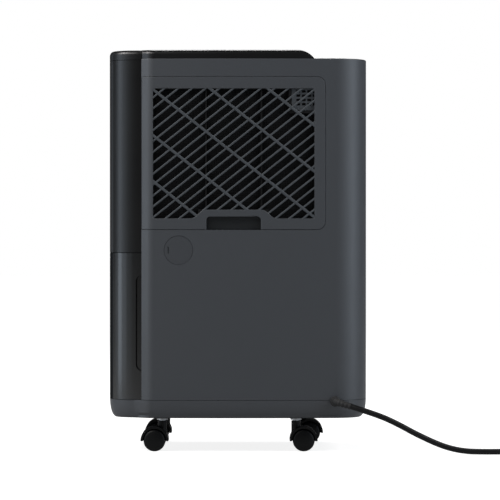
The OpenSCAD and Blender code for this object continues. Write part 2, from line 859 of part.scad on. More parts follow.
// A tube laid back and forth through a stack of fins
module serpentine(y) {
    r = tube_diameter / 2;
    for (i = [0 : coil_passes - 1])
        translate([coil_x[0] - 5, y, pass_z(i)]) rotate([0, 90, 0])
            cylinder(r = r, h = coil_x[1] - coil_x[0] + 10);
    for (i = [0 : coil_passes - 2]) {
        right = i % 2 == 1;
        translate([right ? coil_x[1] + 5 : coil_x[0] - 5, y, pass_z(i) + pass_pitch / 2])
            rotate([90, 0, 0]) rotate([0, 0, right ? -90 : 90])
                rotate_extrude(angle = 180) translate([pass_pitch / 2, 0]) circle(r, $fn = 24);
    }
}

fin_pitch = 8;
fin_skin = 0.5;
fin_count = floor((coil_x[1] - coil_x[0] - 6) / fin_pitch) + 1;

module fins(y)
    for (i = [0 : fin_count - 1])
        translate([coil_x[0] + 3 + i * fin_pitch, 0, 0]) rotate([90, 0, 90]) linear_extrude(fin_skin)
            difference() {
                translate([y - coil_depth / 2, coil_z]) square([coil_depth, coil_passes * pass_pitch]);
                for (k = [0 : coil_passes - 1])
                    translate([y, pass_z(k)]) circle(tube_diameter / 2 + 0.05, $fn = 24);
            }

module evaporator_coil() color(copper) serpentine(evaporator_y);
module evaporator_fins() color(steel) fins(evaporator_y);
module condenser_coil() color(copper) serpentine(condenser_y);
module condenser_fins() color(steel) fins(condenser_y);

shell_seam_z = 0.42;
shell_sole = 12;
shell_dome = 30;

module compressor() color("#1c1e20") translate([compressor_x, 0, compressor_z]) {
    r = compressor_diameter / 2;
    h = compressor_height - 6;
    rotate_extrude($fn = 64) polygon(concat(
        [[0, 4], [r - shell_sole, 4]],
        [for (a = [0 : 15 : 90]) [r, 4 + shell_sole] + shell_sole * [sin(a) - 1, -cos(a)]],
        [[r, shell_seam_z * h], [r + 1.5, shell_seam_z * h],
        [r + 1.5, shell_seam_z * h + 5], [r, shell_seam_z * h + 5]],
        [for (a = [0 : 15 : 90]) [r, h] + shell_dome * [cos(a) - 1, sin(a) - 1]],
        [[0, h]]));
    // feet plate
    for (i = [0 : 2]) rotate([0, 0, 120 * i + 60]) difference() {
        translate([r - 16, -9, 2]) cube([31, 18, 3]);
        translate([r + 6, 0, 0]) cylinder(d = 8, h = 10);
    }
    // terminal box
    translate([-15, -r - 12, 0.55 * h]) cube([30, 22, 34]);
}

module compressor_feet() color(black)
    for (i = [0 : 2]) translate([compressor_x, 0, caster_height + base_floor + 2])
        rotate([0, 0, 120 * i + 60]) translate([compressor_diameter / 2 + 6, 0, 0]) {
            cylinder(d = 16, h = foot_height);
            cylinder(d = 8 - 0.2, h = foot_height + 4.5);
        }

accumulator_way = [0.77, 0.64];
accumulator_radius = 15;
accumulator_height = 97;
accumulator_away = compressor_diameter / 2 + accumulator_radius + 4;
accumulator_at = [compressor_x, 0] + accumulator_away * accumulator_way;
accumulator_z = compressor_z + 24;
discharge_at = [compressor_x + 18, 12];
suction_at = accumulator_at;
duct_wires = [compressor_x - 60, 60];

module accumulator() color("#1c1e20") translate([accumulator_at.x, accumulator_at.y, accumulator_z])
    rotate_extrude($fn = 40) polygon([
        [0, -6], [4, -6], [6, 0], [accumulator_radius - 2, 3], [accumulator_radius, 8],
        [accumulator_radius, accumulator_height - 9], [accumulator_radius - 2, accumulator_height - 4],
        [6, accumulator_height], [0, accumulator_height]]);

discharge_top = pass_z(coil_passes - 1);

module discharge_pipe() color(copper) pipe([
    [discharge_at.x, discharge_at.y, compressor_z + compressor_height - 6],
    [discharge_at.x, discharge_at.y, deck_top + 30],
    [coil_x[1] + 30, discharge_at.y, deck_top + 30],
    [coil_x[1] + 30, discharge_at.y, discharge_top],
    [coil_x[1] + 30, condenser_y, discharge_top],
    [coil_x[1] + 5.1, condenser_y, discharge_top]
], 8);

module suction_pipe() color(copper) {
    inlet = [compressor_x, 0] + (compressor_diameter / 2 + 0.05) * accumulator_way;
    pipe([
        [coil_x[1] + 5.1, evaporator_y, pass_z(0)],
        [accumulator_at.x, evaporator_y, pass_z(0)],
        [accumulator_at.x, evaporator_y, deck_top + 10],
        [accumulator_at.x, accumulator_at.y, deck_top + 10],
        [accumulator_at.x, accumulator_at.y, accumulator_z + accumulator_height]
    ], 8);
    pipe([
        [accumulator_at.x, accumulator_at.y, accumulator_z - 6],
        [accumulator_at.x, accumulator_at.y, accumulator_z - 14],
        [inlet.x, inlet.y, accumulator_z - 14]
    ], 8);
}

drier_x = coil_x[1] + 32;
drier_z = [pass_z(0) + 20, pass_z(0) + 80];

module capillary_tube() color(copper) {
    pipe([
        [coil_x[1] + 5.1, condenser_y, pass_z(0)],
        [drier_x, condenser_y, pass_z(0)],
        [drier_x, condenser_y, drier_z[0] + 2]
    ], 5);
    translate([drier_x, condenser_y, drier_z[0]]) cylinder(d = 16, h = drier_z[1] - drier_z[0]);
    pipe([
        [drier_x, condenser_y, drier_z[1] - 2],
        [drier_x, condenser_y, drier_z[1] + 16],
        [drier_x, evaporator_y, drier_z[1] + 16],
        [drier_x, evaporator_y, pass_z(coil_passes - 1)],
        [coil_x[1] + 5.1, evaporator_y, pass_z(coil_passes - 1)]
    ], 3);
}

// ---------------------------------------------------------------- fan

// Outline of the scroll and its duct in X and Z, grown by off
function scroll(off, top) = concat(
    [for (a = [scroll_start : 15 : 360])
        let (r = scroll_near + off + (scroll_far - scroll_near) * (a - scroll_start) / (360 - scroll_start))
        [fan_x + r * cos(a), fan_z + r * sin(a)]],
    [[duct_x[1] + off, top], [duct_x[0] - off, top]]);

module fan_housing() color("#3a3d40") difference() {
    union() {
        slab(-fan_half - fan_gap - housing_skin, fan_half + fan_gap + housing_skin)
            polygon(scroll(housing_skin, duct_top));
        for (x = [fan_x - 60, fan_x + 66])
            box([x - 10, x + 10], [-30, 30], [deck_top, fan_z - 60]);
    }
    slab(-fan_half - fan_gap, fan_half + fan_gap) polygon(scroll(0, duct_top + 10));
    pin_y(fan_x, fan_z, -body_width / 2, 0, fan_diameter - 26);
    pin_y(fan_x, fan_z, 0, body_width / 2, 30);
}

blade_count = 30;
blade_skin = 1.6;
blade_root = fan_diameter / 2 - 18;
blade_tip = fan_diameter / 2 - 0.8;

// One forward-curved blade, from its root to its tip
function blade_point(t, side) =
    let (r = blade_root + (blade_tip - blade_root) * t, a = 12 * t * t + side * 28.65 * blade_skin / r)
    r * [cos(a), sin(a)];

module fan_impeller() color("#26292c") translate([fan_x, 0, fan_z]) rotate([90, 0, 0]) {
    for (i = [0 : blade_count - 1]) rotate(360 * i / blade_count)
        translate([0, 0, -fan_half + 1]) linear_extrude(fan_width - 2)
            polygon(concat(
                [for (t = [0 : 0.25 : 1]) blade_point(t, -1)],
                [for (t = [1 : -0.25 : 0]) blade_point(t, 1)]));
    translate([0, 0, fan_half - 2]) linear_extrude(2) difference() {
        circle(fan_diameter / 2, $fn = 96);
        circle(blade_root, $fn = 96);
    }
    translate([0, 0, -fan_half]) difference() {
        union() {
            cylinder(d = fan_diameter, h = 2, $fn = 96);
            cylinder(d = 26, h = 22);
        }
        translate([0, 0, -1]) cylinder(d = shaft_diameter, h = 30);
    }
}

motor_y = fan_half + fan_gap + housing_skin;
motor_length = 40;
motor_diameter = 76;
motor_plate = 46;

module fan_motor() color("#3a3d40") difference() {
    union() {
        slab(motor_y, motor_y + 3)
            round_rect([fan_x - motor_plate, fan_x + motor_plate],
                [fan_z - motor_plate, fan_z + motor_plate], 8);
        pin_y(fan_x, fan_z, motor_y + 3, motor_y + 3 + motor_length, motor_diameter);
    }
    pin_y(fan_x, fan_z, 0, motor_y + motor_length - 4, shaft_diameter + 2 * running_clearance);
}

module motor_shaft()
    color(steel)
        pin_y(fan_x, fan_z, fan_half - 24, motor_y + motor_length - 5, shaft_diameter);

// ---------------------------------------------------------------- controls and outlet

module control_board() color("#1f4d2e") {
    box(board_x, [-50, 50], [board_z, board_z + board_skin]);
    // key switches and display module
    for (i = [0 : 3])
        translate([key_x - 3, key_y(i) - 3, board_z + board_skin]) cube([6, 6, 3]);
    box([window_x[0] + 4, window_x[1] - 4], [-28, 28], [board_z + board_skin, cover_top - wall - 1]);
}

module key(i) color("#17191b") translate([key_x, key_y(i), 0]) {
    bottom = board_z + board_skin + 3 + key_travel + 0.2;
    translate([0, 0, bottom]) cylinder(d = key_diameter, h = cover_top + 0.4 - bottom);
}

module power_key() key(0);
module speed_key() key(1);
module timer_key() key(2);
module humidity_key() key(3);

slat_pitch = 9;

module outlet_grille() color(black) {
    z = [shell_top - cover_lip + 1, shell_top - cover_lip + 6];
    x = [outlet_x[0] + 0.2, outlet_x[1] - 0.2];
    y = outlet_y - 0.2;
    difference() {
        box(x, [-y, y], z);
        box([x[0] + 3, x[1] - 3], [-y + 3, y - 3], [z[0] - 1, z[1] + 1]);
    }
    for (px = [x[0] + slat_pitch : slat_pitch : x[1] - 4])
        translate([px, 0, z[0] + 2.5]) rotate([0, 30, 0]) cube([1.4, 2 * y - 2, 5], center = true);
}

module outlet_louvre() color(black) {
    x0 = outlet_x[0] + seam;
    y = outlet_y - seam;
    box([x0, hinge_x], [-y, y], [cover_top - 2.4, cover_top]);
    pin_y(hinge_x, hinge_z, -y, y, louvre_barrel);
    pin_y(hinge_x, hinge_z, -outlet_y - 2.5, outlet_y + 2.5, hinge_pin);
    for (py = [-y / 2, y / 2]) box([x0 + 6, hinge_x], [py - 1, py + 1], [cover_top - 5, cover_top - 2]);
}

// ---------------------------------------------------------------- cord

sleeve_route = [
    [gland_x, -body_width / 2, gland_z], [gland_x + 0.8, -119, 69.9], [gland_x + 3, -123, 69.4],
    [gland_x + 7, -126.4, 68.2], [146, -128.9, 66.1], [153, -131, 64]
];

module cord_gland() color(black) {
    pin_y(gland_x, gland_z, -body_width / 2, -body_width / 2 + 9, 2 * gland_radius - 2.2);
    pin_y(gland_x, gland_z, -body_width / 2, -body_width / 2 + 2.6, 2 * gland_radius);
    swept_tube(sleeve_route, [6.2, 6, 5.8, 5.5, 5.1, 4.5], 12);
}

module cord_tube() color(black) {
    swept_tube(cord_route, [for (p = cord_route) cord_radius]);
    swept_tube(tail_route, [for (p = tail_route) cord_radius]);
}

module cord_coil() color(black) translate([coil_centre.x, coil_centre.y, 0.1])
    rotate_extrude($fn = 64) translate([coil_radius - coil_columns / 2 * cord_diameter, 0])
        square([coil_columns * cord_diameter, coil_layers * cord_diameter]);

plug_radius = 13;
pin_spacing = 18;

module plug() color(black) translate(plug_at) rotate([-90, 0, 0]) {
    cylinder(d1 = 10, d2 = 13, h = 16);
    translate([0, 0, 16]) cylinder(r = plug_radius, h = 26);
    for (s = [-1, 1]) translate([s * pin_spacing / 2, 0, 42]) cylinder(d = 4.8, h = 19, $fn = 24);
}

// ---------------------------------------------------------------- casters

module at_caster(i) {
    s = caster_spots[i];
    translate([s.x, s.y, 0]) rotate([0, 0, s.z]) children();
}

module caster_stems() color(steel)
    for (i = [0 : 3]) at_caster(i) {
        translate([0, 0, hood_top - socket_depth])
            cylinder(d = stem_diameter, h = caster_height + stem_reach - hood_top + socket_depth);
        translate([0, 0, hood_top + 1.2]) cylinder(d = flange_diameter, h = 1.6);
        translate([0, 0, hood_top + 2.8])
            cylinder(d = nut_width, h = caster_height + flange_recess - hood_top - 2.8, $fn = 6);
    }

module caster_hood(i) color(black) at_caster(i) difference() {
    union() {
        // fender over both wheels
        translate([caster_trail, 0, axle_z]) intersection() {
            rotate([90, 0, 0])
                cylinder(r = hood_radius, h = 2 * (hood_neck + wheel_width) - 1, center = true);
            translate([-50, -50, -1]) cube([100, 100, 50]);
        }
        translate([caster_trail, 0, axle_z]) rotate([90, 0, 0])
            cylinder(r = 6, h = 2 * hood_neck, center = true);
        translate([0, 0, hood_top - socket_depth - 2]) cylinder(r = hood_neck, h = socket_depth + 2);
    }
    for (s = [-1, 1]) translate([caster_trail, s * (hood_neck + hood_radius), axle_z]) rotate([90, 0, 0])
        cylinder(r = wheel_diameter / 2 + 1, h = 2 * hood_radius, center = true);
    translate([0, 0, hood_top - socket_depth - hood_gap])
        cylinder(r = stem_diameter / 2 + running_clearance, h = 2 * socket_depth);
    translate([caster_trail, 0, axle_z]) rotate([90, 0, 0])
        cylinder(d = axle_diameter, h = 60, center = true);
}

module caster_axle(i) color(steel) at_caster(i) translate([caster_trail, 0, axle_z]) rotate([90, 0, 0])
    cylinder(d = axle_diameter, h = 2 * (hood_neck + wheel_width) - 5, center = true);

module wheel(i, side) color(black) at_caster(i)
    translate([caster_trail, side * (hood_neck + hood_gap), axle_z]) rotate([-90 * side, 0, 0])
        difference() {
            rotate_extrude($fn = 64) {
                w = wheel_width;
                r = wheel_diameter / 2;
                polygon([[0, 0], [4.5, 0], [4.5, w - 3], [r - 2.5, w - 3], [r - 2.5, 0], [r, 0],
                    [r, w - 3], [r - 1, w - 1], [r - 3, w], [0, w]]);
            }
            translate([0, 0, -1]) cylinder(r = axle_diameter / 2 + running_clearance, h = wheel_width - 1);
        }

// ---------------------------------------------------------------- nodes

main_shell();
base_pan();
front_panel();
top_cover();
chassis();
casing_screws();
water_tank();
tank_lid();
tank_float();
tank_switch();
intake_panel();
filter_frame();
filter_mesh();
humidity_sensor_cover();
drain_cap();
drip_tray();
evaporator_coil();
evaporator_fins();
condenser_coil();
condenser_fins();
fan_housing();
fan_impeller();
fan_motor();
motor_shaft();
compressor();
compressor_feet();
accumulator();
discharge_pipe();
suction_pipe();
capillary_tube();
control_board();
display_window();
power_key();
speed_key();
timer_key();
humidity_key();
outlet_grille();
outlet_louvre();
cord_gland();
cord_tube();
cord_coil();
plug();
caster_stems();
caster_hood(0);  // caster_hood_1
caster_hood(1);  // caster_hood_2
caster_hood(2);  // caster_hood_3
caster_hood(3);  // caster_hood_4
caster_axle(0);  // caster_axle_1
caster_axle(1);  // caster_axle_2
caster_axle(2);  // caster_axle_3
caster_axle(3);  // caster_axle_4
wheel(0, -1);  // wheel_1_left
wheel(0, 1);  // wheel_1_right
wheel(1, -1);  // wheel_2_left
wheel(1, 1);  // wheel_2_right
wheel(2, -1);  // wheel_3_left
wheel(2, 1);  // wheel_3_right
wheel(3, -1);  // wheel_4_left
wheel(3, 1);  // wheel_4_right
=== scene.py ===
"""Looks for a portable dehumidifier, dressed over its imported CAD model.

X runs from the tank at the front (-X) to the back, the intake grille faces -Y, +Z is up. Lengths are in
metres, or in millimetres where a name ends in _MM or a comment says so. Angles given as numbers are in
degrees.
"""

import math

import bmesh
import bpy
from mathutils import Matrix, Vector


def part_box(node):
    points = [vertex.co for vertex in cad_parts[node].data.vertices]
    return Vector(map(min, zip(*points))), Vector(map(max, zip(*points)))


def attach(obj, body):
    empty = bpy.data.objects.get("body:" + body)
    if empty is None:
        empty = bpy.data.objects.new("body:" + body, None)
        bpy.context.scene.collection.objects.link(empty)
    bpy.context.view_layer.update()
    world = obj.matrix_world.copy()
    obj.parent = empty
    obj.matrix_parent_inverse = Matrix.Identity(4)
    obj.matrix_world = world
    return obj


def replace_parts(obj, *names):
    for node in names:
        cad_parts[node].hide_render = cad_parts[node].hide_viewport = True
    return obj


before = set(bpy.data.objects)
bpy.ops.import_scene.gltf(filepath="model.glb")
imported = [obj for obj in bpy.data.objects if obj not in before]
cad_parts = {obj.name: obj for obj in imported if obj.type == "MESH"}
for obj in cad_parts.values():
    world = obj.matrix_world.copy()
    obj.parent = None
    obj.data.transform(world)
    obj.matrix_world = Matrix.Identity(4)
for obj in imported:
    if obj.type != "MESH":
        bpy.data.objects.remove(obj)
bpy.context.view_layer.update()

MM = 0.001
panel_low, panel_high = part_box("intake_panel")
tank_low, tank_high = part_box("water_tank")

# The casing's outline in plan is two crowned sides, two flat ends and four corner arcs
CORNER = 46 * MM
CROWN = 2300 * MM
half_length = -tank_low.x
half_width = -panel_low.y
crown_drop = CROWN - half_width
corner_x = half_length - CORNER
crown_turn = math.asin(corner_x / (CROWN - CORNER))
corner_y = (CROWN - CORNER) * math.cos(crown_turn) - crown_drop
# The seam between the shell and the black front, and how far the CAD's front stands in there
split_x = panel_low.x
FRONT_STEP = 2.5 * MM
# The shell's front edges roll in over a length: an arc up to the bend, then straight on
ROLL_RADIUS = 18 * MM
ROLL_LENGTH = 16.2 * MM
ROLL_BEND = 10.4 * MM
roll_x = split_x + ROLL_LENGTH
# How far the shell's front edge reaches over the seam, and the length that is drawn out for it
ROLL_REACH = 1.0 * MM
DRAWN_LENGTH = 3.6 * MM
# How far the black front stands in between the rolled edges, and from where to where, as distances from the
# seam, that inset fades out along the base
FRONT_INSET = 12 * MM
FLOW_MM = (-13, 13)
# Distances from the middle between which an inset fades in, so that only the wide sides take it
ROLLED_FROM = (62 * MM, 118 * MM)
# Corners closer than this are one: in the scene's own pieces, and in the CAD's meshes
OWN_WELD = 0.002 * MM
CAD_WELD = 0.005 * MM
# The CAD's base is tucked in under the casing along a quarter of an ellipse: how far it goes in, the share of
# the base's height that it takes, how near to it a point counts as skin, and the share that the scene keeps
BASE_TUCK = 14 * MM
BASE_LEVEL = 0.98
BASE_NEAR = 0.4 * MM
BASE_KEPT = 0.58


# ---------------------------------------------------------------- small helpers

def srgb(text):
    """A hex colour such as "3a3d40" as linear red, green, blue and 1."""
    parts = [int(text[i:i + 2], 16) / 255 for i in (0, 2, 4)]
    return tuple(c / 12.92 if c <= 0.04045 else ((c + 0.055) / 1.055) ** 2.4 for c in parts) + (1,)


def put(tree, kind, inputs=(), **settings):
    """Adds a node with its settings. inputs maps a socket to a value or to the output that feeds it."""
    made = tree.nodes.new(kind)
    for name, value in settings.items():
        setattr(made, name, value)
    for key, value in dict(inputs).items():
        if isinstance(value, bpy.types.NodeSocket):
            tree.links.new(value, made.inputs[key])
        else:
            made.inputs[key].default_value = value
    return made


def show(name, data):
    """Puts an object with this data at the origin of the scene."""
    made = bpy.data.objects.new(name, data)
    bpy.context.scene.collection.objects.link(made)
    return made


def own(name, bm, material, smooth=35):
    """Turns a bmesh into a finished piece at the origin, smooth up to an angle."""
    bmesh.ops.remove_doubles(bm, verts=bm.verts, dist=OWN_WELD)
    bmesh.ops.recalc_face_normals(bm, faces=bm.faces)
    mesh = bpy.data.meshes.new(name)
    bm.to_mesh(mesh)
    bm.free()
    mesh.materials.append(material)
    shade(mesh, smooth)
    return show(name, mesh)


def shade(mesh, angle):
    """Smooth faces with a sharp edge wherever two faces meet at more than angle degrees."""
    mesh.shade_smooth()
    bm = bmesh.new()
    bm.from_mesh(mesh)
    for edge in bm.edges:
        edge.smooth = len(edge.link_faces) == 2 and edge.calc_face_angle(0) < math.radians(angle)
    bm.to_mesh(mesh)
    bm.free()


def crowned(x):
    """How far the intake face lies behind its foremost line at x."""
    return CROWN - math.sqrt(CROWN * CROWN - x * x)


def smooth_step(value, low, high):
    """0 up to low, 1 from high on, and a soft rise between them."""
    t = min(1, max(0, (value - low) / (high - low)))
    return t * t * (3 - 2 * t)


def whole(bm):
    """All of a bmesh, as its operators want it."""
    return bm.verts[:] + bm.edges[:] + bm.faces[:]


def cut_at(bm, x):
    """Cuts a bmesh across at x."""
    bmesh.ops.bisect_plane(bm, geom=whole(bm), plane_co=(x, 0, 0), plane_no=(1, 0, 0), dist=1e-7)


# ---------------------------------------------------------------- camera

# The camera's focal length, its distance from the intake face, its place along X and up, and its tilt down
CAMERA_LENS_MM = 188.8
CAMERA_AWAY = 3.555
CAMERA_X = 0.0166
CAMERA_HEIGHT = 0.2963
CAMERA_TILT = 0.338


def make_camera():
    """A long lens ahead of the intake face, a little above the casing's middle and tilted down at it."""
    data = bpy.data.cameras.new("camera")
    data.sensor_width = 36
    data.lens = CAMERA_LENS_MM
    data.clip_end = 50
    camera = show("camera", data)
    camera.location = (CAMERA_X, panel_low.y - CAMERA_AWAY, CAMERA_HEIGHT)
    camera.rotation_euler = (math.radians(90 - CAMERA_TILT), 0, 0)
    bpy.context.scene.camera = camera


make_camera()


# ---------------------------------------------------------------- finishes

def finish(name, colour, roughness, grain=(1.0, 0.02), drift=(60, 0.06), stretch=(1, 1, 1), second=None,
           **sockets):
    """A procedural finish on Object coordinates.

    grain is the size and height in millimetres of the moulded or drawn texture. drift is the size in
    millimetres and the share by which colour and roughness wander. stretch lengthens the grain along an axis,
    second is the colour that the drift wanders to, and sockets are the shader's own values.
    """
    material = bpy.data.materials.new(name)
    material.use_nodes = True
    tree = material.node_tree
    tree.nodes.clear()
    place = put(tree, "ShaderNodeTexCoord").outputs["Object"]
    laid = put(tree, "ShaderNodeMapping", {"Vector": place, "Scale": [1 / s for s in stretch]}).outputs[0]
    fine, slow = (
        put(tree, "ShaderNodeTexNoise", {"Vector": laid, "Scale": 1000 / size, "Detail": detail}).outputs[0]
        for size, detail in ((grain[0], 3.0), (drift[0], 4.0))
    )
    bump = put(tree, "ShaderNodeBump",
               {"Height": fine, "Strength": 1.0, "Distance": grain[1] * MM}).outputs[0]
    base = srgb(colour)
    other = srgb(second) if second else tuple(c * (1 - 2 * drift[1]) for c in base[:3]) + (1,)
    blend = put(tree, "ShaderNodeMix", {0: slow, 6: base, 7: other}, data_type="RGBA").outputs[2]
    rough = put(tree, "ShaderNodeMapRange", {
        "Value": slow, "From Min": 0.3, "From Max": 0.7,
        "To Min": roughness * (1 - drift[1]), "To Max": roughness * (1 + drift[1]),
    }).outputs[0]
    shader = put(tree, "ShaderNodeBsdfPrincipled", {"Base Color": blend, "Roughness": rough, "Normal": bump})
    for key, value in sockets.items():
        shader.inputs[key.replace("_", " ")].default_value = value
    put(tree, "ShaderNodeOutputMaterial", {"Surface": shader.outputs[0]})
    return material


def shader_of(material):
    """A finish's Principled shader."""
    return next(n for n in material.node_tree.nodes if n.type == "BSDF_PRINCIPLED")


def woven(name, colour, thread_mm, roughness):
    """A net of threads crossing in X and Z, painted shade between them, coarser than real so that it shows.
    """
    material = finish(name, colour, roughness, grain=(0.6, 0.02), Specular_IOR_Level=0.12)
    tree = material.node_tree
    shader = shader_of(material)
    place = put(tree, "ShaderNodeTexCoord").outputs["Object"]
    # A wave texture repeats every pi / 10 / Scale: here a thread and a gap as wide
    waves = [
        put(tree, "ShaderNodeTexWave", {"Vector": place, "Scale": 1000 / thread_mm / 20 * math.pi},
            bands_direction=axis).outputs[1]
        for axis in ("X", "Z")
    ]
    over = put(tree, "ShaderNodeMath", {0: waves[0], 1: waves[1]}, operation="MAXIMUM").outputs[0]
    bump = put(tree, "ShaderNodeBump", {"Height": over, "Strength": 1.0, "Distance": 0.3 * MM}).outputs[0]
    tree.links.new(bump, shader.inputs["Normal"])
    base = srgb(colour)
    # The openings between the threads are painted dark, as the shade seen through the net
    opening_shade = tuple(c * 0.15 for c in base[:3]) + (1,)
    mixed = put(tree, "ShaderNodeMix", {0: over, 6: opening_shade, 7: base}, data_type="RGBA").outputs[2]
    tree.links.new(mixed, shader.inputs["Base Color"])
    return material


# Spark-eroded ABS: a dull, even, faintly grained grey that spreads its highlights along the corners
GREY_ABS = finish("grey_spark_eroded_abs", "404347", 0.42, grain=(0.9, 0.035), drift=(70, 0.05), IOR=1.5)
# The drain cap's moulding, a shade darker
CAP_ABS = finish("grey_cap_abs", "3b3e42", 0.46, grain=(0.9, 0.035), drift=(70, 0.05), IOR=1.5)
# The same resin on the grille's ribs, which are too slim to catch a highlight: their sheen is turned down and
# painted into a lighter grey
RIB_LIT_ABS = finish("grey_rib_abs_painted_sheen", "464a4e", 0.48, grain=(0.8, 0.03), drift=(30, 0.06), IOR=1.5,
                 Specular_IOR_Level=0.25)
# Satin black ABS: smoother, so its highlight is narrower and brighter
BLACK_ABS = finish("satin_black_abs", "090a0b", 0.30, grain=(1.4, 0.012), drift=(80, 0.05), IOR=1.5)
# The top cover's resin is the same black, as a darker copy with less sheen: painted shade that keeps the top
# dark
COVER_SHADED_ABS = finish("black_abs_painted_shade", "060708", 0.34, grain=(0.7, 0.01), drift=(80, 0.05), IOR=1.5,
                   Specular_IOR_Level=0.45)
# The finger pull's hollow block, in a dark grey that paints the shade of its recess
PULL_SHADE_ABS = finish("pull_recess_painted_shade", "1d2022", 0.5, grain=(0.9, 0.03), drift=(30, 0.06), IOR=1.5,
                  Specular_IOR_Level=0.35)
# The humidity sensor's cover, in a paler grey than the casing: painted light that lifts it out of its shade
SENSOR_LIT_ABS = finish("sensor_grey_painted_light", "4e5256", 0.5, grain=(0.8, 0.03), drift=(20, 0.06), IOR=1.5,
                    Specular_IOR_Level=0.3)
# Matt black ABS of small inner parts
DULL_BLACK = finish("matt_black_abs", "0b0c0d", 0.6, grain=(0.9, 0.04), drift=(25, 0.08), IOR=1.5,
                    Specular_IOR_Level=0.25)
# Unpainted dark polypropylene of the inner mouldings, slightly waxy
DARK_PP = finish("dark_polypropylene", "232528", 0.48, grain=(1.1, 0.03), drift=(40, 0.08), IOR=1.49)
# Smoked SAN, polished outside: a deep black with a tight highlight
SMOKED_SAN = finish("smoked_san", "0c0e0f", 0.24, grain=(3.0, 0.01), drift=(90, 0.06), IOR=1.57,
                    Coat_Weight=0.4, Coat_Roughness=0.08)
# Closed-cell foam float
FOAM = finish("polystyrene_foam", "d9dbda", 0.8, grain=(1.6, 0.12), drift=(8, 0.05), IOR=1.45)
# Zinc-plated steel, faintly brushed by its drawing
ZINC = finish("zinc_plated_steel", "b9bcbf", 0.32, grain=(0.5, 0.01), drift=(12, 0.15), stretch=(1, 1, 9),
              Metallic=1.0)
# Bright nickel on the plug's pins
NICKEL = finish("nickel_plate", "c9c6bf", 0.2, grain=(0.4, 0.006), drift=(6, 0.12), Metallic=1.0)
# Drawn copper, browned in patches by brazing heat
COPPER = finish("drawn_copper", "b8693f", 0.28, grain=(0.6, 0.015), drift=(22, 0.2), second="7d4a33",
                Metallic=1.0)
# Rolled aluminium fin stock
FIN_STOCK = finish("aluminium_fin_stock", "c6c9cc", 0.3, grain=(0.7, 0.02), drift=(15, 0.12),
                   stretch=(1, 1, 12), Metallic=1.0)
# Baked black enamel on the pressed compressor shell, with a slight orange peel
ENAMEL = finish("black_enamel", "17181a", 0.25, grain=(2.2, 0.05), drift=(35, 0.1), IOR=1.52, Coat_Weight=0.3)
# Moulded rubber
RUBBER = finish("moulded_rubber", "161617", 0.7, grain=(0.8, 0.05), drift=(12, 0.1), IOR=1.52)
# Soft PVC of the cord's jacket: black, slightly wavy, with little sheen
PVC = finish("pvc_cord_jacket", "08090a", 0.48, grain=(2.4, 0.06), drift=(18, 0.08), IOR=1.53,
             Specular_IOR_Level=0.22)
# Moulded nylon of the casters
NYLON = finish("black_nylon", "050607", 0.44, grain=(1.0, 0.03), drift=(16, 0.1), IOR=1.53,
               Specular_IOR_Level=0.2)
# Solder-masked board
BOARD = finish("solder_mask", "1f5a33", 0.35, grain=(0.8, 0.05), drift=(5, 0.25), IOR=1.55)
# Tinted acrylic over the display
ACRYLIC = finish("tinted_acrylic", "08090a", 0.08, grain=(6.0, 0.004), drift=(60, 0.05), IOR=1.49,
                 Coat_Weight=1.0, Coat_Roughness=0.04)
# Polypropylene filter net, near black, deepened with painted shade for the grille's dark inside
NET = woven("filter_net", "0c0d0e", 1.6, 0.7)


# ---------------------------------------------------------------- cord

CORD_MM = 7.8
# The coil's place, the radius of its middle turns, how far it winds round, and the steps it is drawn in
COIL_CENTRE_MM = (420, -92)
COIL_RADIUS_MM = 43
COIL_DEGREES = 5 * 360 + 95
COIL_STEPS = 84
# Where the cord comes out of its strain relief
CORD_EXIT_MM = (153, -131, 64)


def winding():
    """The coil: a flat spiral inwards, a step up, and a flat spiral outwards on top, a diameter apart."""
    points = []
    for i in range(COIL_STEPS + 1):
        a = COIL_DEGREES * i / COIL_STEPS
        inwards = smooth_step(a, 290, 345) + smooth_step(a, 650, 705)
        outwards = smooth_step(a, 1250, 1305) + smooth_step(a, 1610, 1665)
        r = COIL_RADIUS_MM + CORD_MM * (1 - inwards + outwards)
        z = 0.1 + CORD_MM * (0.5 + smooth_step(a, 950, 1005))
        turn = math.radians(a - 90)
        points.append((COIL_CENTRE_MM[0] + r * math.cos(turn), COIL_CENTRE_MM[1] + r * math.sin(turn), z))
    return points


# From the strain relief down to the floor, along it to the coil, round the coil, and up into the plug
CORD_ROUTE_MM = [
    CORD_EXIT_MM, (163, -134, 61), (174, -136, 57.5), (186, -137.5, 53.5), (198, -138.5, 49),
    (210, -139, 43.5), (222, -139.5, 37.5), (235, -140, 30.5), (248, -140.5, 24), (262, -141, 17.5),
    (277, -141.5, 11.5), (293, -142, 7), (310, -142.4, 4.6), (328, -142.7, 4), (346, -142.8, 4),
    (364, -142.8, 4), (382, -142.8, 4), (400, -142.8, 4), (413, -142.8, 4),
] + winding() + [
    (471, -76, 11.9), (471, -66, 12.4), (471, -56, 13), (471, -47, 13.3), (471, -38, 13.3),
]


def through(points, per_span):
    """Points on a smooth line through the given ones."""
    ends = [points[0], *points, points[-1]]
    line = []
    for i in range(1, len(ends) - 2):
        a, b, c, d = (Vector(p) for p in ends[i - 1:i + 3])
        for k in range(per_span):
            t = k / per_span
            line.append(0.5 * (2 * b + (c - a) * t + (2 * a - 5 * b + 4 * c - d) * t * t
                               + (3 * b - a - 3 * c + d) * t ** 3))
    return line + [Vector(points[-1])]


def lay_cord():
    """The mains cord as one open spline, from the strain relief to the plug."""
    line = [p * MM for p in through(CORD_ROUTE_MM, 3)]
    curve = bpy.data.curves.new("mains_cord", "CURVE")
    curve.dimensions = "3D"
    curve.bevel_depth = CORD_MM / 2 * MM
    curve.bevel_resolution = 5
    spline = curve.splines.new("POLY")
    spline.points.add(len(line) - 1)
    for point, place in zip(spline.points, line):
        point.co = (*place, 1)
    spline.use_smooth = True
    curve.materials.append(PVC)
    return show("mains_cord", curve)


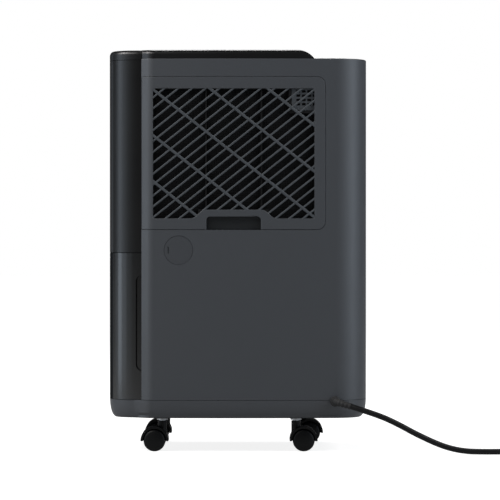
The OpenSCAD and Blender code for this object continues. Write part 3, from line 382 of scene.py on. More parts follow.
def sweep(bm, points, radii, sides=32):
    """Adds a closed tube through points, with a radius at each."""
    rings = []
    for i, p in enumerate(points):
        along = (points[min(i + 1, len(points) - 1)] - points[max(i - 1, 0)]).normalized()
        side = along.cross(Vector((0, 0, 1))).normalized()
        up = side.cross(along)
        rings.append([
            bm.verts.new(p + radii[i] * (math.cos(t) * side + math.sin(t) * up))
            for t in (2 * math.pi * k / sides for k in range(sides))
        ])
    for low, high in zip(rings, rings[1:]):
        for k in range(sides):
            bm.faces.new((low[k], low[(k + 1) % sides], high[(k + 1) % sides], high[k]))
    bm.faces.new(rings[0][::-1])
    bm.faces.new(rings[-1])


def turned(bm, profile_mm, centre, sides):
    """Adds a shape turned about Y through centre. Its profile is (radius, height) from pole to pole."""
    rings = []
    for r, h in profile_mm:
        ring = []
        for k in range(sides if r > 0 else 1):
            t = 2 * math.pi * k / sides
            ring.append(bm.verts.new(centre + Vector((r * MM * math.sin(t), h * MM, r * MM * math.cos(t)))))
        rings.append(ring)
    for low, high in zip(rings, rings[1:]):
        for k in range(sides):
            a, b = (low[i % len(low)] for i in (k, k + 1))
            c, d = (high[i % len(high)] for i in (k + 1, k))
            face = list(dict.fromkeys((a, b, c, d)))
            if len(face) > 2:
                bm.faces.new(face)


# The strain relief's bend out of the casing, its radius at the root, its taper, and its grooves' depth
RELIEF_ROUTE_MM = [(132.3, -115.5, 70), (133.1, -119, 69.9), (135.3, -123, 69.4), (139.3, -126.4, 68.2),
                   (146, -128.9, 66.1), CORD_EXIT_MM]
RELIEF_RADIUS_MM = 6.2
RELIEF_TAPER_MM = 1.9
GROOVE_MM = 0.7
# Its flange as (radius, height) along Y from the casing's side, and where that is in Y and Z
FLANGE_MM = [(0, -1.6), (6.2, -1.6), (7, -0.8), (7, 2.6), (5.9, 2.6), (5.9, 9), (0, 9)]
FLANGE_AT_MM = (-116, 70)


def strain_relief():
    """The sleeve that the cord leaves by: a flange on the casing and a tapered sleeve cut by flex grooves."""
    route = through(RELIEF_ROUTE_MM, 8)
    radii = []
    # Two points of every five lie in a groove, apart from those near the sleeve's ends
    for i in range(len(route)):
        t = i / (len(route) - 1)
        groove = GROOVE_MM if 0.2 < t < 0.92 and i % 5 in (0, 1) else 0
        radii.append((RELIEF_RADIUS_MM - RELIEF_TAPER_MM * t - groove) * MM)
    bm = bmesh.new()
    sweep(bm, [p * MM for p in route], radii)
    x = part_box("cord_gland")[0].x + max(r for r, h in FLANGE_MM) * MM
    y, z = (place * MM for place in FLANGE_AT_MM)
    turned(bm, FLANGE_MM, Vector((x, y, z)), 40)
    return own("strain_relief", bm, RUBBER, 40)


# Where the plug's neck starts, and the plug and one of its pins as (radius, height) along Y from there
PLUG_START = Vector((471, -40, 13.3)) * MM
PLUG_NECK_MM = [(0, 0), (4.6, 0), (5, 1)]
PLUG_GRIPS = 5
PLUG_BODY_MM = [(6.6, 15), (8, 16), (10.4, 18.5), (12.2, 21.5), (12.9, 25), (12.9, 36), (12.3, 37),
                (12.3, 40.6), (11.6, 41.8), (0, 41.8)]
PIN_MM = [(0, 41), (2.4, 41), (2.4, 58.5), (1.9, 60.2), (1.0, 61), (0, 61)]
# How far each pin stands from the plug's middle, and the height from which the plug is nickel
PIN_ASIDE_MM = 9.0
PIN_FROM_MM = 42.2


def mains_plug():
    """A moulded round plug on the floor, with grip ribs and two pins."""
    grips = []
    # Each grip is a ridge and a groove, a little wider than the ones before
    for i in range(PLUG_GRIPS):
        r, h = i * 0.3, 2 + i * 2.6
        grips += [(5.1 + r, h), (5.1 + r, h + 1.3), (4.5 + r, h + 1.6), (4.5 + r, h + 2.3)]
    bm = bmesh.new()
    turned(bm, PLUG_NECK_MM + grips + PLUG_BODY_MM, PLUG_START, 48)
    for side in (-1, 1):
        turned(bm, PIN_MM, PLUG_START + Vector((side * PIN_ASIDE_MM * MM, 0, 0)), 24)
    plug = own("mains_plug", bm, PVC, 40)
    plug.data.materials.append(NICKEL)
    for face in plug.data.polygons:
        if face.center.y > PLUG_START.y + PIN_FROM_MM * MM:
            face.material_index = 1
    return plug


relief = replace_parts(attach(strain_relief(), "root"), "cord_gland")
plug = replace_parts(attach(mains_plug(), "root"), "plug")
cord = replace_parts(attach(lay_cord(), "root"), "cord_tube", "cord_coil")


# ---------------------------------------------------------------- casing

# Faces that meet at up to this angle share a normal
SMOOTH_UP_TO = 32
# A face is skin if its normal leans over far enough and is within an angle of the outline's own direction
SKIN_LEAN = 0.3
SKIN_WITHIN = 13
# The casing is cut into slices of this length about the seam, so that it bends smoothly
ROLL_SLICE = 1.8 * MM


def outward(x, y):
    """The casing's outward direction in plan near a point of its outline."""
    across, along = abs(y), abs(x)
    if along > corner_x and across < corner_y:
        away = Vector((1, 0))
    elif math.atan2(along - corner_x, across - corner_y) > crown_turn:
        away = Vector((along - corner_x, across - corner_y)).normalized()
    else:
        away = Vector((along, across + crown_drop)).normalized()
    return Vector((math.copysign(away.x, x), math.copysign(away.y, y)))


def rolled(x):
    """How far the shell's side stands in at x, and its slope: ahead of roll_x an arc, then straight on."""
    run = max(0, roll_x - max(x, split_x))
    bend = min(run, ROLL_BEND)
    fall = math.sqrt(ROLL_RADIUS ** 2 - bend * bend)
    return ROLL_RADIUS - fall + (run - bend) * bend / fall, -bend / fall


def stepped(x):
    """As rolled, for a piece that passes the seam: ahead of it, the rest of the front's inset."""
    return (FRONT_INSET - FRONT_STEP, 0.0) if x < split_x - 0.01 * MM else rolled(x)


def flowing(x):
    """As rolled, for the base: it flows from the shell's outline into the front's."""
    low, high = (split_x + d * MM for d in FLOW_MM)
    inset = [FRONT_INSET * (1 - smooth_step(x + d, low, high)) for d in (0, MM)]
    return inset[0], (inset[1] - inset[0]) / MM


def roll_in(mesh, inset_at=rolled, shift=0.0, reach=0.0):
    """Rolls a mesh's wide sides in at the front, and gives it the true normals of its sides and corners.

    inset_at gives the inset and its slope at x. shift moves the outline whose normals the skin takes, for a
    part that stands in by a step. reach draws the front edge out over the seam.
    """
    mesh.shade_smooth()
    limit = math.cos(math.radians(SMOOTH_UP_TO))
    faces_at = {}
    for face in mesh.polygons:
        for v in face.vertices:
            faces_at.setdefault(v, []).append(face)
    normals = []
    for face in mesh.polygons:
        for v in face.vertices:
            near = [f for f in faces_at[v] if f.normal.dot(face.normal) > limit]
            n = sum((f.normal * f.area for f in near), Vector()).normalized()
            place = mesh.vertices[v].co
            away = outward(place.x - shift, place.y)
            flat = Vector((face.normal.x, face.normal.y))
            if flat.length > SKIN_LEAN and flat.normalized().dot(away) > math.cos(math.radians(SKIN_WITHIN)):
                level = math.sqrt(max(0, 1 - n.z * n.z))
                n = Vector((away.x * level, away.y * level, n.z))
            # Read just inside the face, so that each side of a break has its own inset
            inset, slope = inset_at(place.x + (face.center.x - place.x) * 0.02)
            # The normal turns as the surface is squeezed in Y by the fade and sheared by the slope
            share = smooth_step(abs(place.y), *ROLLED_FROM)
            gain = (smooth_step(abs(place.y) + MM, *ROLLED_FROM) - share) / MM
            stretch = 1 - inset * gain
            lean = -math.copysign(1, place.y) * slope * share
            normals.append(Vector((n.x - lean * n.y / stretch, n.y / stretch, n.z)).normalized())
    for v in mesh.vertices:
        if reach and v.co.x < split_x + DRAWN_LENGTH:
            v.co.x -= reach * min(1, 1 - (v.co.x - split_x) / DRAWN_LENGTH)
        inset = inset_at(v.co.x)[0]
        v.co.y -= math.copysign(inset * smooth_step(abs(v.co.y), *ROLLED_FROM), v.co.y)
    mesh.normals_split_custom_set(normals)


def slice_roll(bm):
    """Cuts a mesh across at the seam, and often enough about it to bend it along the rolled edge."""
    for x in [split_x - 0.1 * MM, split_x] + [split_x + k * ROLL_SLICE for k in range(-7, 10) if k]:
        cut_at(bm, x)


def margin(x, y):
    """How far a point lies inside the casing's outline."""
    across, along = abs(y), abs(x)
    if math.atan2(along - corner_x, across - corner_y) > crown_turn and across > corner_y:
        return CORNER - math.hypot(along - corner_x, across - corner_y)
    if along > corner_x:
        return half_length - along
    return CROWN - math.hypot(along, across + crown_drop)


def fill_out(bm):
    """Fills out the base's tuck under the casing, so that it ends in an edge. Only the outer skin moves."""
    low, high = (corner.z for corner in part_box("base_pan"))
    for v in bm.verts:
        fall = min(1, (high - v.co.z) / (high - low) / BASE_LEVEL)
        tuck = BASE_TUCK * (1 - math.sqrt(1 - fall * fall)) if v.co.z > low + 0.1 * MM else BASE_TUCK
        if tuck > 0.05 * MM and abs(margin(v.co.x, v.co.y) - tuck) < BASE_NEAR:
            away = outward(v.co.x, v.co.y) * tuck * (1 - BASE_KEPT)
            v.co.x += away.x
            v.co.y += away.y


def casing(node, body, material, inset_at=rolled, shift=0.0, reach=0.0, reshape=None):
    """A casing part from its CAD shape, reshaped where asked, with rolled front edges and true normals."""
    bm = bmesh.new()
    bm.from_mesh(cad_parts[node].data)
    bmesh.ops.remove_doubles(bm, verts=bm.verts, dist=CAD_WELD)
    if reshape:
        reshape(bm)
    bmesh.ops.dissolve_limit(bm, angle_limit=math.radians(0.2), verts=bm.verts, edges=bm.edges)
    slice_roll(bm)
    mesh = bpy.data.meshes.new(node + "_dressed")
    bm.to_mesh(mesh)
    bm.free()
    roll_in(mesh, inset_at, shift, reach)
    mesh.materials.append(material)
    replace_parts(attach(show(node + "_dressed", mesh), body), node)


def sheen_by_height(material, low, high, top_level):
    """Takes the sheen off a part's rounded top edge, between two heights."""
    tree = material.node_tree
    sheen = shader_of(material).inputs["Specular IOR Level"]
    place = put(tree, "ShaderNodeTexCoord").outputs["Object"]
    height = put(tree, "ShaderNodeSeparateXYZ", {0: place}).outputs["Z"]
    level = put(tree, "ShaderNodeMapRange", {
        "Value": height, "From Min": low, "From Max": high,
        "To Min": sheen.default_value, "To Max": top_level,
    }).outputs[0]
    tree.links.new(level, sheen)


def paint_rim_shade(material, colour, start, end, most):
    """Paints shade on a smoked part where its wall is seen edge on, by mixing in a dark diffuse colour."""
    tree = material.node_tree
    clear = shader_of(material).outputs[0]
    output = next(n for n in tree.nodes if n.type == "OUTPUT_MATERIAL")
    facing = put(tree, "ShaderNodeLayerWeight", {"Blend": 0.5}).outputs["Facing"]
    share = put(tree, "ShaderNodeMapRange", {
        "Value": facing, "From Min": start, "From Max": end, "To Min": 0.0, "To Max": most,
    }, interpolation_type="SMOOTHSTEP").outputs[0]
    rim_shade = put(tree, "ShaderNodeBsdfDiffuse", {"Color": srgb(colour)}).outputs[0]
    mixed = put(tree, "ShaderNodeMixShader", {0: share, 1: clear, 2: rim_shade}).outputs[0]
    tree.links.new(mixed, output.inputs["Surface"])


# Painted shade along the smoked tank's edges where they are seen edge on
paint_rim_shade(SMOKED_SAN, "16181a", start=0.40, end=0.52, most=0.95)
cover_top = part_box("top_cover")[1].z
sheen_by_height(COVER_SHADED_ABS, cover_top - 2.5 * MM, cover_top - 0.5 * MM, top_level=0.03)

casing("main_shell", "root", GREY_ABS, reach=ROLL_REACH)
casing("base_pan", "root", GREY_ABS, flowing, reshape=fill_out)
casing("drain_cap", "drain_cap", CAP_ABS)
casing("front_panel", "root", BLACK_ABS, stepped, -FRONT_STEP)
casing("top_cover", "root", COVER_SHADED_ABS, stepped, -FRONT_STEP)
casing("water_tank", "tank", SMOKED_SAN, stepped, -FRONT_STEP)
casing("tank_lid", "tank", DARK_PP, stepped, -FRONT_STEP)
casing("chassis", "root", DARK_PP, stepped)


# ---------------------------------------------------------------- intake panel

# The panel's thickness and outer corners, the margins round its opening, its rounded rims and inner corners
PANEL_MM = dict(skin=3, corner=11, side=14.8, top=16.2, bottom=15.1, edge=0.9, inner=3)
# The finger pull's notch and block, and how the grille's opening climbs over them
PULL_MM = dict(middle=124.4, width=74, height=17.5, depth=7.5, corner=4.8, wall=3, floor=2, overlap=0.5,
               rim=9.5, reach=5, slope=12.5, ease=5.5)
# The two sets of ribs, in millimetres and degrees: first is the distance of a rib from the opening's corner,
# and sunk is how far the ribs' middle lies under the crowned face
SLIM_RIBS = dict(angle=38.4, pitch=11.6, width=2.6, depth=2.2, first=9.6, sunk=1.6)
BROAD_RIBS = dict(angle=-38.4, pitch=48.8, width=3.7, depth=2.8, first=0.8, sunk=1.6)
# How far a rib runs into the rim, the shortest rib, the steps it bends in, and its corner radius by its depth
RIB_END_MM = 2
RIB_SHORTEST_MM = 3
RIB_STEP_MM = 8
RIB_ROUND = 0.36
# A plate is cut into slices of this width, so that it follows the crown
PLATE_SLICE_MM = 12


def corner_arc(centre, radius, start, end, steps=8):
    """Points on an arc about centre, from one angle to another."""
    turns = (math.radians(start + (end - start) * i / steps) for i in range(steps + 1))
    return [(centre[0] + radius * math.cos(t), centre[1] + radius * math.sin(t)) for t in turns]


def eased(before, corner, after, reach, steps=5):
    """An outline's corner, eased by a curve that starts and ends at the given reach from it."""
    a, b, c = (Vector(point) for point in (before, corner, after))
    start, end = b + (a - b).normalized() * reach, b + (c - b).normalized() * reach
    return [tuple(start.lerp(b, t).lerp(b.lerp(end, t), t)) for t in (i / steps for i in range(steps + 1))]


def plate(bm, loops, y0, y1, edge=0.0):
    """Adds a plate drawn in X and Z, from depth y0 to y1 under the crowned face, with rims rounded by edge.

    The depths and the edge are in millimetres.
    """
    part = bmesh.new()
    edges = []
    for loop in loops:
        verts = [part.verts.new((x, 0, z)) for x, z in loop]
        edges += [part.edges.new((verts[i], verts[(i + 1) % len(verts)])) for i in range(len(verts))]
    bmesh.ops.triangle_fill(part, use_beauty=True, use_dissolve=False, edges=edges)
    low, high = min(v.co.x for v in part.verts), max(v.co.x for v in part.verts)
    for i in range(1, int((high - low) / (PLATE_SLICE_MM * MM))):
        cut_at(part, low + i * PLATE_SLICE_MM * MM)
    slice_roll(part)
    # A copy is the plate's back, and walls along the rims join the two
    rim = [e for e in part.edges if len(e.link_faces) == 1]
    back = bmesh.ops.duplicate(part, geom=whole(part))
    twin = back["vert_map"]
    for v in [g for g in back["geom"] if isinstance(g, bmesh.types.BMVert)]:
        v.co.y = (y1 - y0) * MM
    for e in rim:
        a, b = e.verts
        part.faces.new((a, b, twin[b], twin[a]))
    bmesh.ops.recalc_face_normals(part, faces=part.faces)
    if edge:
        bmesh.ops.bevel(part, geom=rim, offset=edge * MM, segments=3, profile=0.5, affect="EDGES",
                        clamp_overlap=False)
    for v in part.verts:
        v.co.y += -half_width + y0 * MM + crowned(v.co.x)
    mesh = bpy.data.meshes.new("part")
    part.to_mesh(mesh)
    part.free()
    bm.from_mesh(mesh)
    bpy.data.meshes.remove(mesh)


def panel_shapes():
    """The panel's outline with the pull's notch, the grille's opening, and the pull's block and its floor."""
    x0, x1, z0, z1 = panel_low.x, panel_high.x, panel_low.z, panel_high.z
    panel = {name: length * MM for name, length in PANEL_MM.items()}
    pull = {name: length * MM for name, length in PULL_MM.items()}
    middle, half, height, r = x0 + pull["middle"], pull["width"] / 2, pull["height"], pull["corner"]
    notch = [(middle - half, z0), *corner_arc((middle - half + r, z0 + height - r), r, 180, 90),
             *corner_arc((middle + half - r, z0 + height - r), r, 90, 0), (middle + half, z0)]
    r = panel["corner"]
    outline = [(x0, z0), *notch, *corner_arc((x1 - r, z0 + r), r, -90, 0),
               *corner_arc((x1 - r, z1 - r), r, 0, 90), (x0, z1)]

    left, right = x0 + panel["side"], x1 - panel["side"]
    foot, top = z0 + panel["bottom"], z1 - panel["top"]
    step = z0 + height + pull["rim"]
    reach = half + pull["reach"]
    r = panel["inner"]
    rise = [(left + r, foot), (middle - reach - pull["slope"], foot), (middle - reach, step),
            (middle + reach, step), (middle + reach + pull["slope"], foot), (right - r, foot)]
    over = [point for i in range(1, len(rise) - 1) for point in eased(*rise[i - 1:i + 2], pull["ease"])]
    opening = [*corner_arc((left + r, foot + r), r, 180, 270, 4), *over,
               *corner_arc((right - r, foot + r), r, -90, 0, 4),
               *corner_arc((right - r, top - r), r, 0, 90, 4),
               *corner_arc((left + r, top - r), r, 90, 180, 4)]

    low, high, upper = middle - half - pull["wall"], middle + half + pull["wall"], z0 + height + pull["wall"]
    block = [(low, z0), *notch, (high, z0), (high, upper), (low, upper)]
    floor = [(low, z0), (high, z0), (high, upper), (low, upper)]
    return outline, opening, block, floor


def crossings(opening, angle, pitch, first):
    """Parallel lines across the opening, each as two points in X and Z that lie a little beyond its edge."""
    turn = math.radians(-angle)
    along, square = Vector((math.cos(turn), -math.sin(turn))), Vector((math.sin(turn), math.cos(turn)))
    xs, zs = zip(*opening)
    top = Vector((min(xs), max(zs)))
    count = math.ceil(math.hypot(max(xs) - min(xs), max(zs) - min(zs)) / (pitch * MM))
    end = along * RIB_END_MM * MM
    spans = []
    for i in range(-count, count + 1):
        start = top - square * (first + i * pitch) * MM
        hits = []
        for a, b in zip(opening, opening[1:] + opening[:1]):
            a, b = Vector(a), Vector(b)
            da, db = (a - start).dot(square), (b - start).dot(square)
            if (da > 0) != (db > 0):
                hits.append((a + (b - a) * da / (da - db) - start).dot(along))
        hits.sort()
        for low, high in zip(hits[::2], hits[1::2]):
            if high - low > RIB_SHORTEST_MM * MM:
                spans.append((start + along * low - end, start + along * high + end))
    return spans


def rib_tree():
    """Sweeps a rounded bar along each edge of a mesh and bends it to the crowned face."""
    tree = bpy.data.node_groups.new("grille_ribs", "GeometryNodeTree")
    face = tree.interface
    face.new_socket("Geometry", in_out="INPUT", socket_type="NodeSocketGeometry")
    for name in ("Rib width", "Rib depth", "Step", "Crown radius"):
        face.new_socket(name, in_out="INPUT", socket_type="NodeSocketFloat")
    face.new_socket("Finish", in_out="INPUT", socket_type="NodeSocketMaterial")
    face.new_socket("Geometry", in_out="OUTPUT", socket_type="NodeSocketGeometry")
    given = put(tree, "NodeGroupInput").outputs
    line = put(tree, "GeometryNodeMeshToCurve", {0: given["Geometry"]}).outputs[0]
    even = put(tree, "GeometryNodeResampleCurve", {"Curve": line, "Length": given["Step"]},
               mode="LENGTH").outputs[0]
    place = put(tree, "GeometryNodeInputPosition").outputs[0]
    x = put(tree, "ShaderNodeSeparateXYZ", {0: place}).outputs["X"]
    x_squared = put(tree, "ShaderNodeMath", {0: x, 1: x}, operation="MULTIPLY").outputs[0]
    twice = put(tree, "ShaderNodeMath", {0: given["Crown radius"], 1: 2.0}, operation="MULTIPLY").outputs[0]
    back = put(tree, "ShaderNodeMath", {0: x_squared, 1: twice}, operation="DIVIDE").outputs[0]
    offset = put(tree, "ShaderNodeCombineXYZ", {"Y": back}).outputs[0]
    bent = put(tree, "GeometryNodeSetPosition", {"Geometry": even, "Offset": offset}).outputs[0]
    upright = put(tree, "GeometryNodeSetCurveNormal", {0: bent}, mode="Z_UP").outputs[0]
    bar = put(tree, "GeometryNodeCurvePrimitiveQuadrilateral",
              {"Width": given["Rib depth"], "Height": given["Rib width"]}).outputs[0]
    radius = put(tree, "ShaderNodeMath", {0: given["Rib depth"], 1: RIB_ROUND},
                 operation="MULTIPLY").outputs[0]
    rounded = put(tree, "GeometryNodeFilletCurve", {"Curve": bar, "Radius": radius, "Count": 4},
                  mode="POLY").outputs[0]
    swept = put(tree, "GeometryNodeCurveToMesh",
                {"Curve": upright, "Profile Curve": rounded, "Fill Caps": True}).outputs[0]
    real = put(tree, "GeometryNodeRealizeInstances", {0: swept}).outputs[0]
    soft = put(tree, "GeometryNodeSetShadeSmooth", {0: real}).outputs[0]
    done = put(tree, "GeometryNodeSetMaterial", {"Geometry": soft, "Material": given["Finish"]}).outputs[0]
    put(tree, "NodeGroupOutput", {0: done})
    return tree


def run_tree(name, mesh, tree, values):
    """Runs a node tree on a mesh and gives back the finished mesh."""
    carrier = show(name, mesh)
    modifier = carrier.modifiers.new("tree", "NODES")
    modifier.node_group = tree
    for item in tree.interface.items_tree:
        if item.in_out == "INPUT" and item.name in values:
            modifier[item.identifier] = values[item.name]
    graph = bpy.context.evaluated_depsgraph_get()
    result = bpy.data.meshes.new_from_object(carrier.evaluated_get(graph), depsgraph=graph)
    bpy.data.objects.remove(carrier)
    return result


def add_bars(mesh, bars, material):
    """Adds the bars' mesh to a mesh, with a material of its own."""
    bm = bmesh.new()
    bm.from_mesh(mesh)
    first = len(bm.faces)
    bm.from_mesh(bars)
    bm.faces.ensure_lookup_table()
    for face in bm.faces[first:]:
        face.material_index = len(mesh.materials)
    mesh.materials.append(material)
    bm.to_mesh(mesh)
    bm.free()
    bpy.data.meshes.remove(bars)


def intake_panel():
    """The intake panel with its finger pull and its lattice of slim and broad ribs."""
    outline, opening, block, floor = panel_shapes()
    skin, depth = PANEL_MM["skin"], PULL_MM["depth"]
    bm = bmesh.new()
    plate(bm, [outline, opening], 0, skin, PANEL_MM["edge"])
    plate(bm, [block], skin - PULL_MM["overlap"], depth)
    plate(bm, [floor], depth, depth + PULL_MM["floor"])
    panel = own("intake_panel_dressed", bm, GREY_ABS)
    panel.data.materials.append(PULL_SHADE_ABS)
    # Faces deeper than the skin, inside the pull's recess, take the painted shade
    for face in panel.data.polygons:
        behind = face.center.y + half_width - crowned(face.center.x)
        if behind > (skin + 0.2) * MM:
            face.material_index = 1
    roll_in(panel.data, reach=ROLL_REACH)
    tree = rib_tree()
    for ribs in (SLIM_RIBS, BROAD_RIBS):
        spans = crossings(opening, ribs["angle"], ribs["pitch"], ribs["first"])
        y = -half_width + ribs["sunk"] * MM
        points = [(p.x, y, p.y) for span in spans for p in span]
        mesh = bpy.data.meshes.new("rib_lines")
        mesh.from_pydata(points, [(i, i + 1) for i in range(0, len(points), 2)], [])
        bars = run_tree("ribs", mesh, tree, {
            "Rib width": ribs["width"] * MM, "Rib depth": ribs["depth"] * MM, "Step": RIB_STEP_MM * MM,
            "Crown radius": CROWN, "Finish": RIB_LIT_ABS,
        })
        add_bars(panel.data, bars, RIB_LIT_ABS)
    return panel


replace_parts(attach(intake_panel(), "intake"), "intake_panel")


# ---------------------------------------------------------------- CAD nodes that keep their shape

def smoothing_tree():
    """Joins a CAD node's loose triangles and smooths them up to an angle."""
    tree = bpy.data.node_groups.new("smooth_to_angle", "GeometryNodeTree")
    face = tree.interface
    face.new_socket("Geometry", in_out="INPUT", socket_type="NodeSocketGeometry")
    face.new_socket("Angle", in_out="INPUT", socket_type="NodeSocketFloat")
    face.new_socket("Geometry", in_out="OUTPUT", socket_type="NodeSocketGeometry")
    given = put(tree, "NodeGroupInput").outputs
    joined = put(tree, "GeometryNodeMergeByDistance",
                 {"Geometry": given["Geometry"], "Distance": CAD_WELD}).outputs[0]
    angle = put(tree, "GeometryNodeInputMeshEdgeAngle").outputs[0]
    keen = put(tree, "FunctionNodeCompare", {0: angle, 1: given["Angle"]},
               operation="GREATER_THAN").outputs[0]
    soft = put(tree, "GeometryNodeSetShadeSmooth", {0: joined, "Shade Smooth": True},
               domain="FACE").outputs[0]
    edged = put(tree, "GeometryNodeSetShadeSmooth", {0: soft, "Selection": keen, "Shade Smooth": False},
                domain="EDGE").outputs[0]
    put(tree, "NodeGroupOutput", {0: edged})
    return tree


SMOOTHING = smoothing_tree()


def dress(node, material):
    """Gives a CAD node its finish, and smooth round faces."""
    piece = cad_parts[node]
    piece.data.materials.clear()
    piece.data.materials.append(material)
    modifier = piece.modifiers.new("smooth", "NODES")
    modifier.node_group = SMOOTHING
    angle_input = next(i for i in SMOOTHING.interface.items_tree if i.name == "Angle")
    modifier[angle_input.identifier] = math.radians(SMOOTH_UP_TO)


CASTERS = range(1, 5)
FINISHES = [
    (DARK_PP, ["drip_tray", "fan_housing"]),
    (SENSOR_LIT_ABS, ["humidity_sensor_cover"]),
    (DULL_BLACK, ["tank_switch", "filter_frame", "fan_impeller", "outlet_grille"]),
    (BLACK_ABS, ["outlet_louvre", "power_key", "speed_key", "timer_key", "humidity_key"]),
    (ZINC, ["casing_screws", "fan_motor", "motor_shaft", "caster_stems"]
     + [f"caster_axle_{i}" for i in CASTERS]),
    (FOAM, ["tank_float"]),
    (NET, ["filter_mesh"]),
    (COPPER, ["evaporator_coil", "condenser_coil", "discharge_pipe", "suction_pipe", "capillary_tube"]),
    (FIN_STOCK, ["evaporator_fins", "condenser_fins"]),
    (ENAMEL, ["compressor", "accumulator"]),
    (RUBBER, ["compressor_feet"]),
    (BOARD, ["control_board"]),
    (ACRYLIC, ["display_window"]),
    (NYLON, [f"caster_hood_{i}" for i in CASTERS]
     + [f"wheel_{i}_{side}" for i in CASTERS for side in ("left", "right")]),
]
for finish_used, nodes in FINISHES:
    for node in nodes:
        dress(node, finish_used)


# ---------------------------------------------------------------- small pieces of the scene's own

def slab(name, low, high, edge, material):
    """A thin slab between two corners, with eased edges, riding on the casing."""
    bm = bmesh.new()
    bmesh.ops.create_cube(bm, size=1)
    bmesh.ops.scale(bm, vec=high - low, verts=bm.verts)
    bmesh.ops.translate(bm, vec=(low + high) / 2, verts=bm.verts)
    bmesh.ops.bevel(bm, geom=bm.edges[:], offset=edge, segments=2, affect="EDGES", profile=0.5)
    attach(own(name, bm, material), "root")


# A black sheet behind the sensor cover's holes, as painted shade: how far it stays inside the cover,
# its gap and its thickness
SHADE_SHEET_INSIDE = 2 * MM
SHADE_SHEET_GAP = 0.15 * MM
SHADE_SHEET_THICKNESS = 0.5 * MM
sensor_low, sensor_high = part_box("humidity_sensor_cover")
shade_sheet_y = sensor_high.y + SHADE_SHEET_GAP
slab("sensor_shade_sheet", Vector((sensor_low.x + SHADE_SHEET_INSIDE, shade_sheet_y, sensor_low.z + SHADE_SHEET_INSIDE)),
     Vector((sensor_high.x - SHADE_SHEET_INSIDE, shade_sheet_y + SHADE_SHEET_THICKNESS, sensor_high.z - SHADE_SHEET_INSIDE)),
     0.15 * MM, DULL_BLACK)

# A dark strip in the seam above the tank: painted shade that lets no light through. How far
# behind the panel's face it starts and ends, its clearance over the tank, and how far it laps the panel
SEAM_SHADE_FROM = 0.6 * MM
SEAM_SHADE_TO = 3 * MM
SEAM_SHADE_CLEAR = 0.2 * MM
SEAM_SHADE_LAP = 0.3 * MM
front_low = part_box("front_panel")[0]
slab("seam_shade_strip", Vector((front_low.x + SEAM_SHADE_FROM, CORNER - half_width, tank_high.z + SEAM_SHADE_CLEAR)),
     Vector((front_low.x + SEAM_SHADE_TO, half_width - CORNER, front_low.z + SEAM_SHADE_LAP)),
     0.2 * MM, DULL_BLACK)


# ---------------------------------------------------------------- floor, background and lamps

WHITE = (1, 1, 1, 1)
# The share of the white background that mirrored rays see: all of it would lift near-black plastics to grey
SKY_MIRRORED = 0.04
FLOOR_MIRRORED = 0.2
# The strength of the sky that lights the object
SKY_LEVEL = 0.03
# Half the floor's side, the grey by which it takes the shadow, and its own glow, which is lower near the
# middle and rises to full between two distances
FLOOR_HALF = 15
FLOOR_GREY = (0.35, 0.35, 0.35, 1)
GLOW_NEAR = 0.86
GLOW_RISE = (0.35, 1.6)


def background_share(tree, mirrored):
    """How far a ray sees the white background: camera and transmitted rays wholly, mirrored ones in part."""
    path = put(tree, "ShaderNodeLightPath").outputs
    share = put(tree, "ShaderNodeMath", {0: path["Is Glossy Ray"], 1: mirrored},
                operation="MULTIPLY").outputs[0]
    clear = put(tree, "ShaderNodeMath", {0: path["Is Camera Ray"], 1: path["Is Transmission Ray"]},
                operation="MAXIMUM").outputs[0]
    return put(tree, "ShaderNodeMath", {0: clear, 1: share}, operation="MAXIMUM").outputs[0]


def pale_floor():
    """A white floor that the camera sees lit from within, a little less near the object's shadow."""
    material = bpy.data.materials.new("white_floor")
    material.use_nodes = True
    tree = material.node_tree
    tree.nodes.clear()
    seen = background_share(tree, FLOOR_MIRRORED)
    place = put(tree, "ShaderNodeTexCoord").outputs["Object"]
    away = put(tree, "ShaderNodeVectorMath", {0: place}, operation="LENGTH").outputs["Value"]
    level = put(tree, "ShaderNodeMapRange", {
        "Value": away, "From Min": GLOW_RISE[0], "From Max": GLOW_RISE[1], "To Min": GLOW_NEAR, "To Max": 1.0,
    }, interpolation_type="SMOOTHSTEP").outputs[0]
    glow = put(tree, "ShaderNodeEmission", {"Color": WHITE, "Strength": level}).outputs[0]
    matt = put(tree, "ShaderNodeBsdfDiffuse", {"Color": FLOOR_GREY}).outputs[0]
    both = put(tree, "ShaderNodeAddShader", {0: glow, 1: matt}).outputs[0]
    used = put(tree, "ShaderNodeMixShader", {0: seen, 1: matt, 2: both}).outputs[0]
    put(tree, "ShaderNodeOutputMaterial", {"Surface": used})
    bm = bmesh.new()
    corners = ((-1, -1), (1, -1), (1, 1), (-1, 1))
    bm.faces.new([bm.verts.new((FLOOR_HALF * x, FLOOR_HALF * y, 0)) for x, y in corners])
    mesh = bpy.data.meshes.new("floor")
    bm.to_mesh(mesh)
    bm.free()
    mesh.materials.append(material)
    show("floor", mesh)


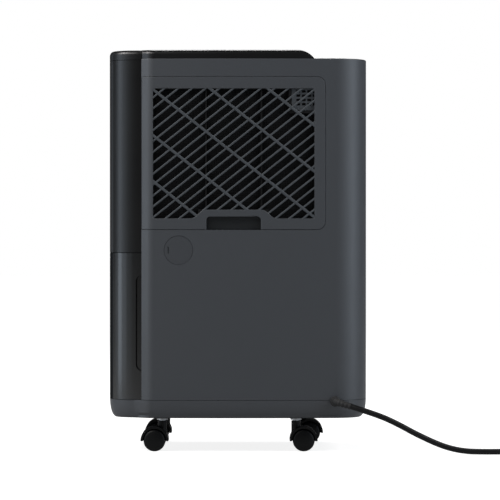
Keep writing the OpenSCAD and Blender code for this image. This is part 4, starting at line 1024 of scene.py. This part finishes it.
def surround():
    """White behind everything, and a dim even sky for the light."""
    world = bpy.data.worlds.new("studio")
    world.use_nodes = True
    bpy.context.scene.world = world
    tree = world.node_tree
    tree.nodes.clear()
    seen = background_share(tree, SKY_MIRRORED)
    sky = put(tree, "ShaderNodeBackground", {"Color": WHITE, "Strength": SKY_LEVEL}).outputs[0]
    white = put(tree, "ShaderNodeBackground", {"Color": WHITE, "Strength": 1.0}).outputs[0]
    used = put(tree, "ShaderNodeMixShader", {0: seen, 1: sky, 2: white}).outputs[0]
    put(tree, "ShaderNodeOutputWorld", {"Surface": used})


# How far the lamps stand from the middle, and the height of the point they face
LAMP_REACH = 1.7
LAMP_AIM = 0.3
# Groups of lamps: height, size, colour, and watts by azimuth, which is 0 ahead of the grille and 90 at -X.
# Each side's upright strips fade in and out, so that the corners shade off softly. The high lamps give the
# broad even light, and the one behind is for the side turned away.
LAMPS = {
    "strip": (0.55, (0.42, 1.5), (0.88, 1.0, 1.14), {
        40: 0.4, 55: 1.5, 70: 4.2, 85: 0.6, 115: 1.0, -40: 1.2, -55: 2.4, -70: 5.4, -85: 2.1}),
    "overhead": (1.7, (0.7, 0.7), (1.03, 1.0, 0.98), {35: 8.6, 65: 27.2, -65: 18.4}),
    "behind": (2.3, (0.9, 0.9), (1.0, 1.0, 1.0), {180: 44}),
}


def softbox(name, azimuth, height, size, power, colour):
    """A soft rectangular lamp that faces the middle of the object."""
    turn = math.radians(azimuth)
    data = bpy.data.lights.new(name, "AREA")
    data.shape = "RECTANGLE"
    data.size, data.size_y = size
    data.energy = power
    data.color = colour
    lamp = show(name, data)
    lamp.location = (-LAMP_REACH * math.sin(turn), -LAMP_REACH * math.cos(turn), height)
    lamp.rotation_euler = (Vector((0, 0, LAMP_AIM)) - lamp.location).to_track_quat("-Z", "Y").to_euler()


pale_floor()
surround()
for group, (height, size, colour, watts) in LAMPS.items():
    for azimuth, power in watts.items():
        softbox(f"{group}_{azimuth}", azimuth, height, size, power, colour)

bpy.context.scene.view_settings.view_transform = "Standard"
